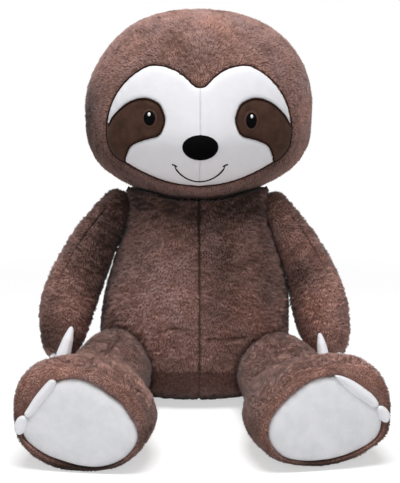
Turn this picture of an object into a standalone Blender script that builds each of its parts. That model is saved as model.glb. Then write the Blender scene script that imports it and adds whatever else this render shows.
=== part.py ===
"""Seated plush sloth, built as a soft-toy maker builds one.

Each stuffed part is a filling inside a cover of sewn panels: the torso, the head, two arms and two legs.
The head turns on a stuffed neck. Arms and legs end in stuffed balls that sit in hollows of the torso.
The toy faces -Y, its left side is +X, and the floor is z = 0, under the middle of the seat.
"""

import math

import bmesh
import bpy
from mathutils import Matrix, Vector
from mathutils.bvhtree import BVHTree
from mathutils.geometry import interpolate_bezier

# Cloth and clearances
COVER = 0.0030
SEAM_GAP = 0.0004
SEAT_GAP = 0.0005
SOCKET_GAP = 0.0005
PRESS_GAP = 0.0016
THREAD = 0.0012
OVERRUN = 0.0200

# Torso, whose top is hollowed for the head
TORSO_HEIGHT = 0.322
TORSO_WIDTH = 0.296
TORSO_DEPTH = 0.230
TORSO_SIDES = 16
TORSO_SQUARENESS = 2.2
# (height, width, front, back), from the seat over the shoulders into the hollow
TORSO_SHARES = [
    (0.000, 0.60, 0.46, 0.64),
    (0.032, 0.79, 0.69, 0.81),
    (0.095, 0.925, 0.89, 0.93),
    (0.210, 0.99, 0.99, 0.99),
    (0.380, 1.00, 1.00, 1.00),
    (0.540, 0.99, 0.95, 0.96),
    (0.690, 0.91, 0.865, 0.87),
    (0.840, 0.80, 0.775, 0.785),
    (0.950, 0.765, 0.715, 0.73),
    (1.000, 0.725, 0.69, 0.70),
    (1.020, 0.66, 0.65, 0.66),
    (0.965, 0.33, 0.42, 0.42),
]
# The seat panel takes the lowest part of the torso
SEAT_SEAM_SHARE = 0.193

# Neck, a stuffed ball that stands on the torso's filling
NECK_RADIUS = 0.050
NECK_RISE = 0.020

# Head, which stands clear of the torso's top
HEAD_DROP = 0.009
HEAD_HEIGHT = 0.300
HEAD_WIDTH = 0.351
HEAD_DEPTH = 0.290
HEAD_SIDES = 20
HEAD_SQUARENESS = 2.1
# (height, width, front, back), from the chin to the crown
HEAD_SHARES = [
    (0.000, 0.13, 0.14, 0.14),
    (0.018, 0.30, 0.30, 0.30),
    (0.060, 0.49, 0.49, 0.48),
    (0.125, 0.685, 0.69, 0.66),
    (0.205, 0.85, 0.85, 0.81),
    (0.310, 0.962, 0.965, 0.93),
    (0.430, 0.998, 1.00, 0.99),
    (0.550, 0.996, 0.99, 1.00),
    (0.665, 0.948, 0.94, 0.955),
    (0.770, 0.855, 0.84, 0.865),
    (0.860, 0.722, 0.71, 0.735),
    (0.935, 0.545, 0.53, 0.56),
    (0.983, 0.33, 0.32, 0.34),
    (1.000, 0.14, 0.14, 0.14),
]
MUZZLE_SWELL = 0.012
MUZZLE_SPREAD = 0.060
MUZZLE_UP_SHARE = 0.27
BACK_SEAM_SHARE = 0.10

# Face, a white heart between the two halves of the hood
FACE_WIDTH = 0.276
FACE_HEIGHT = 0.180
FACE_UP_SHARE = 0.098
# Half outline, from the notch of the brow down to the chin
FACE_OUTLINE_SHARES = [
    (0.000, 0.815),
    (0.132, 0.895),
    (0.233, 0.949),
    (0.353, 0.983),
    (0.497, 0.996),
    (0.620, 0.962),
    (0.748, 0.892),
    (0.858, 0.800),
    (0.940, 0.690),
    (0.990, 0.560),
    (1.000, 0.438),
    (0.970, 0.320),
    (0.885, 0.240),
    (0.790, 0.200),
    (0.657, 0.142),
    (0.451, 0.070),
    (0.250, 0.026),
    (0.000, 0.004),
]
# The dark patch round an eye, from its inner end over the top. It runs past the face, whose edge cuts it off
PATCH_OUTLINE_SHARES = [
    (0.371, 0.556),
    (0.393, 0.624),
    (0.446, 0.688),
    (0.586, 0.726),
    (0.754, 0.690),
    (0.903, 0.595),
    (0.982, 0.503),
    (1.120, 0.380),
    (1.080, 0.120),
    (0.845, 0.140),
    (0.800, 0.245),
    (0.733, 0.348),
    (0.596, 0.399),
    (0.443, 0.433),
    (0.393, 0.488),
]

# Eyes, embroidered pads with a white stitched highlight
EYE_WIDTH = 0.0175
EYE_HEIGHT = 0.0235
EYE_OUT_SHARE = 0.530
EYE_UP_SHARE = 0.553
HIGHLIGHT_WIDTH = 0.0052
HIGHLIGHT_HEIGHT = 0.0062
HIGHLIGHT_UP_SHARE = 0.25
EYE_SIDES = 16
HIGHLIGHT_SIDES = 10

# Nose, a small stuffed oval
NOSE_WIDTH = 0.0525
NOSE_HEIGHT = 0.0385
NOSE_DEPTH = 0.022
NOSE_UP_SHARE = 0.344
NOSE_SIDES = 18
NOSE_ROWS = 10

# Smile, a line of satin stitch with a tick at each corner
SMILE_WIDTH = 0.073
SMILE_DROP = 0.0235
SMILE_UP_SHARE = 0.190
SMILE_THICKNESS = 0.0022
SMILE_TICK = 0.0085
SMILE_STEPS = 12
SMILE_ROUNDNESS = 0.75

# Rings of the stuffed half ball at a limb's root, and places along a limb where its seam is cut
ROOT_RING_SHARES = [0.20, 0.60, 1.00]
SEAM_STEP_SHARES = [0.00, 0.25, 0.50, 0.75, 1.00]

# Arms, each hanging from the shoulder down beside the hip
SHOULDER_OUT_SHARE = 0.820
SHOULDER_UP_SHARE = 0.955
SHOULDER_RADIUS = 0.034
ARM_LEFT_OUT = 0.090
ARM_RIGHT_OUT = 0.096
ARM_FORWARD = 0.052
ARM_LEFT_BOW = 0.043
ARM_RIGHT_BOW = 0.050
ARM_BEND_SHARE = 0.44
ARM_SIDES = 12
PAW_LIFT = 0.066
PAW_RADIUS = 0.0380
# (length, girth) from the shoulder to the paw's end
ARM_SHARES = [
    (0.12, 0.88),
    (0.30, 0.94),
    (0.50, 1.01),
    (0.70, 1.01),
    (0.85, 0.91),
    (0.95, 0.67),
    (1.00, 0.30),
]

# Claws of the hand, two soft fingers in the front seam of each paw
HAND_CLAW_RADIUS = 0.0115
HAND_CLAW_LIFT = 0.0040
HAND_CLAW_GIRTH_SHARES = [0.30, 0.75, 0.97, 1.00, 0.90, 0.66, 0.28]
# Root of each claw: share of the arm's length, then sideways and forwards in paw radii
HAND_CLAW_SHARES = {"front": (0.815, -0.20, -0.86), "rear": (0.930, 0.50, -0.30)}
HAND_CLAW_LEAN_SHARE = 0.30

# Legs, each lying forward on the floor and ending in a round foot
HIP_OUT_SHARE = 0.770
HIP_FRONT_SHARE = 0.740
THIGH_RADIUS = 0.0625
LEG_LENGTH = 0.270
LEG_SPLAY = 8.7
LEG_SIDES = 16
SPLAY_OUT = 20.0
SPLAY_IN = 10.0
FOOT_WIDTH = 0.189
FOOT_HEIGHT = 0.134
FOOT_ROLL = 19.5
FOOT_CENTRE_HEIGHT = 0.066
FOOT_BULGE_OUT = 0.005
FOOT_BULGE_UP = 0.003
# How far the front rim lies from the sole's edge to the foot's outside, and how much of the bulge it has
RIM_SHARE = 0.62
RIM_BULGE_SHARE = 0.60
# (length, growth from thigh to foot, girth) from the hip to the foot's front rim
LEG_SHARES = [
    (0.20, 0.00, 1.00),
    (0.42, 0.04, 0.95),
    (0.58, 0.42, 0.97),
    (0.73, 0.86, 1.00),
    (0.87, 1.00, 1.00),
    (0.965, 0.97, 0.98),
]

# Sole, a white oval in the front of each foot
SOLE_WIDTH = 0.150
SOLE_HEIGHT = 0.110
SOLE_DOME = 0.007
# (girth, rise) of the rings over the sole
SOLE_SHARES = [(1.00, 0.15), (0.72, 0.72), (0.30, 1.00)]

# Claws of the foot, two soft fingers in the upper outer seam of the sole
FOOT_CLAW_RADIUS = 0.0075
FOOT_CLAW_GIRTH_SHARES = [0.40, 0.85, 1.00, 1.00, 1.00, 0.85, 0.45]
# Start and end of each claw round the sole, in degrees from its outer end, and how far out each end lies
FOOT_CLAW_TURNS = {"upper": (55.0, -9.0), "outer": (-15.0, -38.0)}
FOOT_CLAW_REACH_SHARES = {"upper": (0.95, 1.02), "outer": (1.05, 1.25)}

# Colours as the photograph shows them, with roughness
FUR_BROWN = ((0.200, 0.115, 0.095, 1.0), 0.95)
SEAT_BROWN = ((0.095, 0.050, 0.045, 1.0), 0.90)
FACE_WHITE = ((0.800, 0.800, 0.820, 1.0), 0.90)
PATCH_BROWN = ((0.055, 0.028, 0.019, 1.0), 0.90)
THREAD_BLACK = ((0.004, 0.004, 0.005, 1.0), 0.45)
THREAD_WHITE = ((0.900, 0.900, 0.900, 1.0), 0.50)
NOSE_BLACK = ((0.002, 0.002, 0.003, 1.0), 0.60)
FILLING_WHITE = ((0.750, 0.740, 0.710, 1.0), 1.00)

SIDES_OF_TOY = {"left": 1, "right": -1}
BALL_SIDES = 20
ROUND_SIDES = 20
CLAW_SIDES = 8
SHARP_ANGLE = 40.0


# Objects and materials


def clear_scene():
    for item in list(bpy.data.objects):
        bpy.data.objects.remove(item)


def material(name, finish):
    colour, roughness = finish
    made = bpy.data.materials.new(name)
    made.use_nodes = True
    shader = made.node_tree.nodes["Principled BSDF"]
    shader.inputs["Base Color"].default_value = colour
    shader.inputs["Roughness"].default_value = roughness
    shader.inputs["Metallic"].default_value = 0.0
    return made


def mesh_object(name, bm, finish=None):
    """A finished bmesh as an object. Without a finish it is a cutter, which no render shows."""
    mesh = bpy.data.meshes.new(name)
    bm.to_mesh(mesh)
    bm.free()
    mesh.shade_smooth()
    mesh.set_sharp_from_angle(angle=math.radians(SHARP_ANGLE))
    made = bpy.data.objects.new(name, mesh)
    bpy.context.scene.collection.objects.link(made)
    if finish is None:
        made.hide_render = True
        made.display_type = "WIRE"
    else:
        mesh.materials.append(finish)
    return made


def boolean(target, operation, *cutters):
    for cutter in cutters:
        modifier = target.modifiers.new(f"{operation.lower()} {cutter.name}", "BOOLEAN")
        modifier.operation = operation
        modifier.object = cutter
    return target


def joint_empty(name, place, pieces):
    """An empty on a joint's axis, which carries the pieces that move about it."""
    made = bpy.data.objects.new(name, None)
    made.location = place
    bpy.context.scene.collection.objects.link(made)
    bpy.context.view_layer.update()
    for piece in pieces:
        piece.parent = made
        piece.matrix_parent_inverse = made.matrix_world.inverted()


# Stuffed forms


def lofted(rings):
    """A closed skin of triangles through rings of points, whose first and last rings are capped flat."""
    bm = bmesh.new()
    rows = [[bm.verts.new(point) for point in ring] for ring in rings]
    for low, high in zip(rows, rows[1:]):
        for index in range(len(low)):
            after = (index + 1) % len(low)
            bm.faces.new((low[index], low[after], high[after], high[index]))
    bm.faces.new(reversed(rows[0]))
    bm.faces.new(rows[-1])
    bmesh.ops.recalc_face_normals(bm, faces=bm.faces)
    bmesh.ops.triangulate(bm, faces=bm.faces)
    bm.normal_update()
    return bm


def turns(sides):
    """Angles of a ring's points. None lies on an axis, because seams run there."""
    return [2 * math.pi * (index + 0.5) / sides for index in range(sides)]


def upright_form(base, height, width, depth, shares, squareness, sides):
    """A form of oval rings about the Z axis, a little squarer than ellipses."""
    power = 2 / squareness
    rings = []
    for up, wide, front, back in shares:
        ring = []
        for turn in turns(sides):
            across, along = math.cos(turn), math.sin(turn)
            x = math.copysign(abs(across) ** power, across) * wide * width / 2
            y = math.copysign(abs(along) ** power, along) * (back if along > 0 else front) * depth / 2
            ring.append((x, y, base + up * height))
        rings.append(ring)
    return lofted(rings)


def skin(form, depth, floor=None):
    """A copy of a form whose skin lies depth inside it, or outside if depth is below zero.

    With a floor, what would hang below it is pressed flat, as stuffing is.
    """
    made = form.copy()
    places = [vertex.co - vertex.normal * depth for vertex in form.verts]
    for vertex, place in zip(made.verts, places):
        vertex.co = place
        if floor is not None:
            vertex.co.z = max(place.z, floor + depth)
    return made


def shell(form, outer, inner, floor=None):
    """The space between two depths of a form's skin: a cover before its seams are cut."""
    made = skin(form, outer, floor)
    hollow = skin(form, inner, floor)
    bmesh.ops.reverse_faces(hollow, faces=hollow.faces)
    spare = bpy.data.meshes.new("hollow")
    hollow.to_mesh(spare)
    hollow.free()
    made.from_mesh(spare)
    bpy.data.meshes.remove(spare)
    return made


def pressed(form, neighbour, root, reach):
    """Push a form out of its neighbour, as one stuffed part flattens against another.

    What lies within reach of the form's root stays, because it sits in the neighbour's hollow.
    """
    surface = BVHTree.FromBMesh(neighbour)
    for vertex in form.verts:
        place, normal = surface.find_nearest(vertex.co)[:2]
        if (vertex.co - root).length > reach and (vertex.co - place).dot(normal) < PRESS_GAP:
            vertex.co = place + normal * PRESS_GAP
    form.normal_update()
    return form


# Cutters


def prism(name, outline, start, end, along):
    """An outline in the plane square to the Y or Z axis, extruded along that axis from start to end."""
    bm = bmesh.new()
    corners = [(across, start, up) if along == "Y" else (across, up, start) for across, up in outline]
    face = bm.faces.new([bm.verts.new(corner) for corner in corners])
    pushed = bmesh.ops.extrude_face_region(bm, geom=[face])["geom"]
    far = [item for item in pushed if isinstance(item, bmesh.types.BMVert)]
    travel = Vector((0, end - start, 0)) if along == "Y" else Vector((0, 0, end - start))
    bmesh.ops.translate(bm, vec=travel, verts=far)
    bmesh.ops.recalc_face_normals(bm, faces=bm.faces)
    return mesh_object(name, bm)


def block(name, low, high):
    bm = bmesh.new()
    size = Vector(high) - Vector(low)
    middle = (Vector(high) + Vector(low)) / 2
    bmesh.ops.create_cube(bm, size=1, matrix=Matrix.Translation(middle) @ Matrix.Diagonal((*size, 1)))
    return mesh_object(name, bm)


def ball(name, centre, radius):
    """A round cutter whose facets all lie outside the true ball."""
    bm = bmesh.new()
    outside = radius / math.cos(math.pi / BALL_SIDES) ** 2
    bmesh.ops.create_uvsphere(bm, u_segments=BALL_SIDES, v_segments=BALL_SIDES // 2 + 1, radius=outside)
    bmesh.ops.translate(bm, vec=centre, verts=bm.verts)
    return mesh_object(name, bm)


def rounded(points, per_span, closed=True):
    """Points of a smooth line through hand-chosen ones."""
    made = []
    count = len(points)
    for index in range(count if closed else count - 1):
        steps = [index + step for step in (-1, 0, 1, 2)]
        steps = [step % count if closed else min(max(step, 0), count - 1) for step in steps]
        before, start, end, after = (Vector(points[step]).to_3d() for step in steps)
        first, second = start + (end - before) / 6, end - (after - start) / 6
        made += interpolate_bezier(start, first, second, end, per_span + 1)[:-1]
    if not closed:
        made.append(Vector(points[-1]).to_3d())
    return [(point.x, point.y) for point in made]


def grown(outline, amount):
    """A closed outline moved outwards by an amount, all along."""
    doubled_area = sum(a[0] * b[1] - b[0] * a[1] for a, b in zip(outline, outline[1:] + outline[:1]))
    outwards = math.copysign(amount, doubled_area)
    made = []
    for index, point in enumerate(outline):
        run = Vector(outline[(index + 1) % len(outline)]) - Vector(outline[index - 1])
        run.normalize()
        made.append((point[0] + outwards * run.y, point[1] - outwards * run.x))
    return made


def oval(across, up, width, height, sides):
    return [(across + math.cos(turn) * width / 2, up + math.sin(turn) * height / 2) for turn in turns(sides)]


def band(points, width):
    """The outline of a line of stitching of one width along some points."""
    line = [Vector(point) for point in points]
    left, right = [], []
    for index, point in enumerate(line):
        run = line[min(index + 1, len(line) - 1)] - line[max(index - 1, 0)]
        side = Vector((-run.y, run.x)).normalized() * width / 2
        left.append(tuple(point + side))
        right.append(tuple(point - side))
    return left + right[::-1]


# Torso and neck


SHOULDER = {
    name: Vector((sign * TORSO_WIDTH / 2 * SHOULDER_OUT_SHARE, 0, TORSO_HEIGHT * SHOULDER_UP_SHARE))
    for name, sign in SIDES_OF_TOY.items()
}
HIP = {
    name: Vector((sign * TORSO_WIDTH / 2 * HIP_OUT_SHARE, -TORSO_DEPTH / 2 * HIP_FRONT_SHARE, THIGH_RADIUS))
    for name, sign in SIDES_OF_TOY.items()
}
HOLLOW = TORSO_HEIGHT * TORSO_SHARES[-1][0]
CHIN = TORSO_HEIGHT - HEAD_DROP
NECK_CENTRE = Vector((0, 0, CHIN + NECK_RISE))
NECK_FOOT_RADIUS = math.sqrt(NECK_RADIUS**2 - (NECK_CENTRE.z - HOLLOW) ** 2)


def torso_form():
    size = (TORSO_HEIGHT, TORSO_WIDTH, TORSO_DEPTH)
    return upright_form(0, *size, TORSO_SHARES, TORSO_SQUARENESS, TORSO_SIDES)


def torso_sockets(arm_forms):
    """Cutters for the shoulder and hip hollows. Each hip is open to the front for the leg's whole range."""
    sockets = {"shoulder": [], "arm": [], "hip": []}
    for name, sign in SIDES_OF_TOY.items():
        shoulder = ball(f"shoulder_{name}_socket", SHOULDER[name], SHOULDER_RADIUS + SOCKET_GAP)
        sockets["shoulder"].append(shoulder)
        sockets["arm"].append(mesh_object(f"arm_{name}_hollow", skin(arm_forms[name], -SOCKET_GAP)))
        sockets["hip"].append(ball(f"hip_{name}_socket", HIP[name], THIGH_RADIUS + SOCKET_GAP))
        for label, degrees in (("out", LEG_SPLAY + SPLAY_OUT), ("in", LEG_SPLAY - SPLAY_IN)):
            turn = math.radians(degrees)
            ahead = Vector((sign * math.sin(turn), -math.cos(turn), 0))
            reach = Spine(HIP[name], HIP[name] + ahead * TORSO_DEPTH / 2, HIP[name] + ahead * TORSO_DEPTH)
            radius = (THIGH_RADIUS + SOCKET_GAP) / math.cos(math.pi / ROUND_SIDES)
            rings = [reach.ring(share, radius, radius, Vector((0, 0, 1)), ROUND_SIDES) for share in (0, 1)]
            sockets["hip"].append(mesh_object(f"hip_{name}_way_{label}", lofted(rings)))
    return sockets


def torso(form, sockets, materials):
    core = mesh_object("torso_filling", skin(form, COVER + SEAT_GAP), materials["filling"])
    boolean(core, "DIFFERENCE", *sockets["shoulder"], *sockets["arm"], *sockets["hip"])
    hole_width = 2 * (NECK_FOOT_RADIUS + SEAM_GAP) / math.cos(math.pi / ROUND_SIDES)
    neck_hole = prism(
        "neck_hole", oval(0, 0, hole_width, hole_width, ROUND_SIDES), HOLLOW - OVERRUN, HOLLOW + OVERRUN, "Z"
    )
    half = SEAM_GAP / 2
    seat_top = TORSO_HEIGHT * SEAT_SEAM_SHARE
    for name, sign in SIDES_OF_TOY.items():
        near_x, far_x = sorted((sign * half, sign * TORSO_WIDTH))
        for place, way in (("front", -1), ("back", 1)):
            near_y, far_y = sorted((way * half, way * TORSO_DEPTH))
            quarter = block(
                f"torso_{place}_{name}_cut",
                (near_x, near_y, seat_top + half),
                (far_x, far_y, TORSO_HEIGHT + OVERRUN),
            )
            panel = mesh_object(f"torso_{place}_{name}", shell(form, 0, COVER), materials["fur"])
            boolean(panel, "INTERSECT", quarter)
            boolean(panel, "DIFFERENCE", neck_hole, *sockets["shoulder"], *sockets["arm"])
            if place == "front":
                boolean(panel, "DIFFERENCE", *sockets["hip"])
    low = block(
        "seat_cut", (-TORSO_WIDTH, -TORSO_DEPTH, -OVERRUN), (TORSO_WIDTH, TORSO_DEPTH, seat_top - half)
    )
    seat = mesh_object("seat_panel", shell(form, 0, COVER), materials["seat"])
    boolean(seat, "INTERSECT", low)
    boolean(seat, "DIFFERENCE", *sockets["hip"])


def neck(filling):
    """The ball of filling under the head. Its foot is cut flat and stands on the torso's filling."""
    rings = []
    low = math.asin((HOLLOW - NECK_CENTRE.z) / NECK_RADIUS)
    steps = ROUND_SIDES // 3
    angles = [low + (math.pi / 2 - low) * step / steps for step in range(steps)]
    levels = [(HOLLOW - COVER, NECK_FOOT_RADIUS)]
    levels += [(NECK_CENTRE.z + NECK_RADIUS * math.sin(at), NECK_RADIUS * math.cos(at)) for at in angles]
    for level, radius in levels:
        ring = [(radius * math.cos(turn), radius * math.sin(turn), level) for turn in turns(ROUND_SIDES)]
        rings.append(ring)
    return mesh_object("neck_filling", lofted(rings), filling)


# Head and face


FACE_BASE = CHIN + HEAD_HEIGHT * FACE_UP_SHARE


def on_face(shares, sign=1):
    """Outline shares of the face as real places across and up."""
    return [(sign * across * FACE_WIDTH / 2, FACE_BASE + up * FACE_HEIGHT) for across, up in shares]


def head_form():
    size = (HEAD_HEIGHT, HEAD_WIDTH, HEAD_DEPTH)
    form = upright_form(CHIN, *size, HEAD_SHARES, HEAD_SQUARENESS, HEAD_SIDES)
    muzzle = CHIN + HEAD_HEIGHT * MUZZLE_UP_SHARE
    for vertex in form.verts:
        if vertex.co.y < 0:
            away = math.hypot(vertex.co.x, vertex.co.z - muzzle) / MUZZLE_SPREAD
            vertex.co.y -= MUZZLE_SWELL * math.exp(-(away**2))
    form.normal_update()
    return form


def head(materials):
    form = head_form()
    far = HEAD_WIDTH + OVERRUN
    front, half = -HEAD_DEPTH, SEAM_GAP / 2
    seam = HEAD_DEPTH / 2 * BACK_SEAM_SHARE
    low, high = CHIN - OVERRUN, CHIN + HEAD_HEIGHT + OVERRUN

    right_half = on_face(FACE_OUTLINE_SHARES)
    left_half = [(-across, up) for across, up in reversed(right_half[1:-1])]
    face_outline = right_half + left_half
    face_cut = prism("face_cut", face_outline, front, 0, "Y")
    face_hole = prism("face_hole", grown(face_outline, SEAM_GAP), front, 0, "Y")
    neck_socket = ball("neck_socket", NECK_CENTRE, NECK_RADIUS + SOCKET_GAP)
    back_cut = block("hood_back_cut", (-far, seam + half, low), (far, HEAD_DEPTH, high))

    core = mesh_object("head_filling", skin(form, COVER + SEAT_GAP), materials["filling"])
    back = mesh_object("hood_back", shell(form, 0, COVER), materials["fur"])
    boolean(core, "DIFFERENCE", neck_socket)
    boolean(back, "INTERSECT", back_cut)
    boolean(back, "DIFFERENCE", neck_socket)
    made = [core, back, nose(form, materials["nose"]), smile(form, materials["black"])]
    for name, sign in SIDES_OF_TOY.items():
        near_x, far_x = sorted((sign * half, sign * far))
        half_cut = block(f"head_{name}_cut", (near_x, front, low), (far_x, seam - half, high))
        patch_outline = rounded(on_face(PATCH_OUTLINE_SHARES, sign), 2)
        patch_cut = prism(f"eye_patch_{name}_cut", patch_outline, front, 0, "Y")
        patch_hole = prism(f"eye_patch_{name}_hole", grown(patch_outline, SEAM_GAP), front, 0, "Y")
        hood = mesh_object(f"hood_{name}", shell(form, 0, COVER), materials["fur"])
        boolean(hood, "INTERSECT", half_cut)
        boolean(hood, "DIFFERENCE", face_hole, neck_socket)
        cheek = mesh_object(f"face_{name}", shell(form, 0, COVER), materials["white"])
        boolean(cheek, "INTERSECT", half_cut, face_cut)
        boolean(cheek, "DIFFERENCE", patch_hole)
        patch = mesh_object(f"eye_patch_{name}", shell(form, 0, COVER), materials["patch"])
        boolean(patch, "INTERSECT", face_cut, patch_cut)
        made += [hood, cheek, patch, *eye(form, name, sign, materials)]
    form.free()
    return made


def stitched(name, form, outline, below, finish):
    """Satin stitch: a thin raised pad that follows the head, of an outline seen from the front."""
    pad = mesh_object(name, shell(form, -below - THREAD, -below), finish)
    cut = prism(f"{name}_cut", outline, -HEAD_DEPTH, 0, "Y")
    return boolean(pad, "INTERSECT", cut)


def eye(form, name, sign, materials):
    across = sign * EYE_OUT_SHARE * FACE_WIDTH / 2
    up = FACE_BASE + EYE_UP_SHARE * FACE_HEIGHT
    high = up + EYE_HEIGHT * HIGHLIGHT_UP_SHARE
    whole = oval(across, up, EYE_WIDTH, EYE_HEIGHT, EYE_SIDES)
    spot = oval(across, high, HIGHLIGHT_WIDTH, HIGHLIGHT_HEIGHT, HIGHLIGHT_SIDES)
    return [
        stitched(f"eye_{name}", form, whole, SEAT_GAP, materials["black"]),
        stitched(f"eye_highlight_{name}", form, spot, 2 * SEAT_GAP + THREAD, materials["white_thread"]),
    ]


def nose(form, finish):
    """A stuffed oval sewn on the muzzle, hollowed behind to lie on the face."""
    up = FACE_BASE + NOSE_UP_SHARE * FACE_HEIGHT
    front = min(vertex.co.y for vertex in form.verts)
    bm = bmesh.new()
    bmesh.ops.create_uvsphere(bm, u_segments=NOSE_SIDES, v_segments=NOSE_ROWS, radius=1)
    size = Matrix.Diagonal((NOSE_WIDTH / 2, NOSE_DEPTH / 2, NOSE_HEIGHT / 2, 1))
    bmesh.ops.transform(bm, matrix=Matrix.Translation((0, front, up)) @ size, verts=bm.verts)
    lump = mesh_object("nose", bm, finish)
    bed = mesh_object("nose_bed", skin(form, -SEAT_GAP))
    return boolean(lump, "DIFFERENCE", bed)


def smile(form, finish):
    """One arc from corner to corner, with a short tick at each end."""
    top = FACE_BASE + SMILE_UP_SHARE * FACE_HEIGHT
    half = SMILE_WIDTH / 2
    places = [2 * step / SMILE_STEPS - 1 for step in range(SMILE_STEPS + 1)]
    arc = [(place * half, top - SMILE_DROP * (1 - place**2) ** SMILE_ROUNDNESS) for place in places]
    strokes = [prism("smile_arc", band(arc, SMILE_THICKNESS), -HEAD_DEPTH, 0, "Y")]
    for name, sign in SIDES_OF_TOY.items():
        lean = Vector((sign * SMILE_TICK, SMILE_TICK / 3))
        corner = Vector((sign * half, top)) + Vector((0, SMILE_THICKNESS / 2))
        tick = band([corner - lean / 2, corner + lean / 2], SMILE_THICKNESS)
        strokes.append(prism(f"smile_tick_{name}", tick, -HEAD_DEPTH, 0, "Y"))
    boolean(strokes[0], "UNION", *strokes[1:])
    pad = mesh_object("smile_stitching", shell(form, -SEAT_GAP - THREAD, -SEAT_GAP), finish)
    return boolean(pad, "INTERSECT", strokes[0])


# Limbs


class Spine:
    """A smooth line through a limb, with rings square to it at each share of its length."""

    def __init__(self, start, bend, end):
        self.start, self.bend, self.end = start, bend, end

    def place(self, share):
        return (1 - share) ** 2 * self.start + 2 * share * (1 - share) * self.bend + share**2 * self.end

    def run(self, share):
        return ((1 - share) * (self.bend - self.start) + share * (self.end - self.bend)).normalized()

    def frame(self, share, up):
        """The ways across and up in the plane square to the spine."""
        across = self.run(share).cross(up).normalized()
        return across, across.cross(self.run(share))

    def ring(self, share, wide, high, up, sides, shift=0.0):
        across, rise = self.frame(share, up)
        middle = self.place(share) + self.run(share) * shift
        across, rise = across * wide, rise * high
        return [middle + across * math.cos(turn) + rise * math.sin(turn) for turn in turns(sides)]


def half_ball(radius):
    """(girth, shift along the spine) of the rings of the stuffed half ball at a limb's root."""
    angles = [math.pi / 2 * share for share in ROOT_RING_SHARES]
    return [(radius * math.sin(angle), -radius * math.cos(angle)) for angle in angles]


def seam_wall(name, spine, side, spread, along):
    """A block on one side of a limb's seam. Its wall follows the spine, seen along the Y or Z axis."""
    flat = []
    for share in SEAM_STEP_SHARES:
        place, run = spine.place(share), spine.run(share)
        up, rise = (place.z, run.z) if along == "Y" else (place.y, run.y)
        flat.append((Vector((place.x, up)), Vector((run.x, rise)).normalized()))
    flat.insert(0, (flat[0][0] - flat[0][1] * spread, flat[0][1]))
    flat.append((flat[-1][0] + flat[-1][1] * spread, flat[-1][1]))
    square = [(point, Vector((-run.y, run.x)) * side) for point, run in flat]
    near = [tuple(point + way * SEAM_GAP / 2) for point, way in square]
    far = [tuple(point + way * spread) for point, way in (square[-1], square[0])]
    centre = spine.place(0.5)
    middle = centre.y if along == "Y" else centre.z
    return prism(name, near + far, middle - spread, middle + spread, along)


def evenly(shares):
    """Each share with its place from 0 to 1 along a line."""
    return [(index / (len(shares) - 1), share) for index, share in enumerate(shares)]


def halves(kind, form, spine, along, floor, finish):
    """A limb's two cover panels, one each side of its seam."""
    made = []
    spread = 2 * (spine.end - spine.start).length
    for place, side in (("outer", 1), ("inner", -1)):
        panel = mesh_object(f"{kind}_{place}", shell(form, 0, COVER, floor), finish)
        wall = seam_wall(f"{kind}_{place}_cut", spine, side * math.copysign(1, spine.start.x), spread, along)
        made.append(boolean(panel, "INTERSECT", wall))
    return made


def arm_spine(name, sign):
    shoulder = SHOULDER[name]
    out, bend = (ARM_LEFT_OUT, ARM_LEFT_BOW) if name == "left" else (ARM_RIGHT_OUT, ARM_RIGHT_BOW)
    chord = Vector((sign * out, -ARM_FORWARD, PAW_LIFT - shoulder.z))
    bow = Vector((-chord.z, 0, chord.x)).normalized() * sign * bend
    bow.z = abs(bow.z)
    return Spine(shoulder, shoulder + chord * ARM_BEND_SHARE + bow, shoulder + chord)


def arm_form(name, sign, torso_shape):
    spine, front = arm_spine(name, sign), Vector((0, -1, 0))
    rings = []
    for girth, shift in half_ball(SHOULDER_RADIUS):
        rings.append(spine.ring(0, girth, girth, front, ARM_SIDES, shift))
    for share, girth in ARM_SHARES:
        rings.append(spine.ring(share, PAW_RADIUS * girth, PAW_RADIUS * girth, front, ARM_SIDES))
    return pressed(lofted(rings), torso_shape, SHOULDER[name], SHOULDER_RADIUS + SOCKET_GAP)


def arm(name, sign, form, materials):
    spine = arm_spine(name, sign)
    made = [mesh_object(f"arm_{name}_filling", skin(form, COVER + SEAT_GAP), materials["filling"])]
    made += halves(f"arm_{name}", form, spine, "Y", None, materials["fur"])
    bed = mesh_object(f"arm_{name}_bed", skin(form, -SEAT_GAP))
    front = Vector((0, -1, 0))
    tip_height = HAND_CLAW_LIFT + HAND_CLAW_RADIUS
    for label, (share, out, forward) in HAND_CLAW_SHARES.items():
        root = spine.place(share) + Vector((sign * out, forward, 0)) * PAW_RADIUS
        lean = (root.z - tip_height) * HAND_CLAW_LEAN_SHARE
        tip = Vector((root.x + sign * lean / 2, root.y, tip_height))
        line = Spine(root, (root + tip) / 2 + front * lean, tip)
        rings = [
            line.ring(place, HAND_CLAW_RADIUS * girth, HAND_CLAW_RADIUS * girth, front, CLAW_SIDES)
            for place, girth in evenly(HAND_CLAW_GIRTH_SHARES)
        ]
        claw = mesh_object(f"hand_claw_{name}_{label}", lofted(rings), materials["white"])
        made.append(boolean(claw, "DIFFERENCE", bed))
    return made


def leg_spine(name, sign):
    hip, splay = HIP[name], math.radians(LEG_SPLAY)
    ahead = Vector((sign * math.sin(splay), -math.cos(splay), 0)) * LEG_LENGTH
    lift = Vector((0, 0, FOOT_CENTRE_HEIGHT - hip.z))
    return Spine(hip, hip + ahead / 2, hip + ahead + lift)


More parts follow.
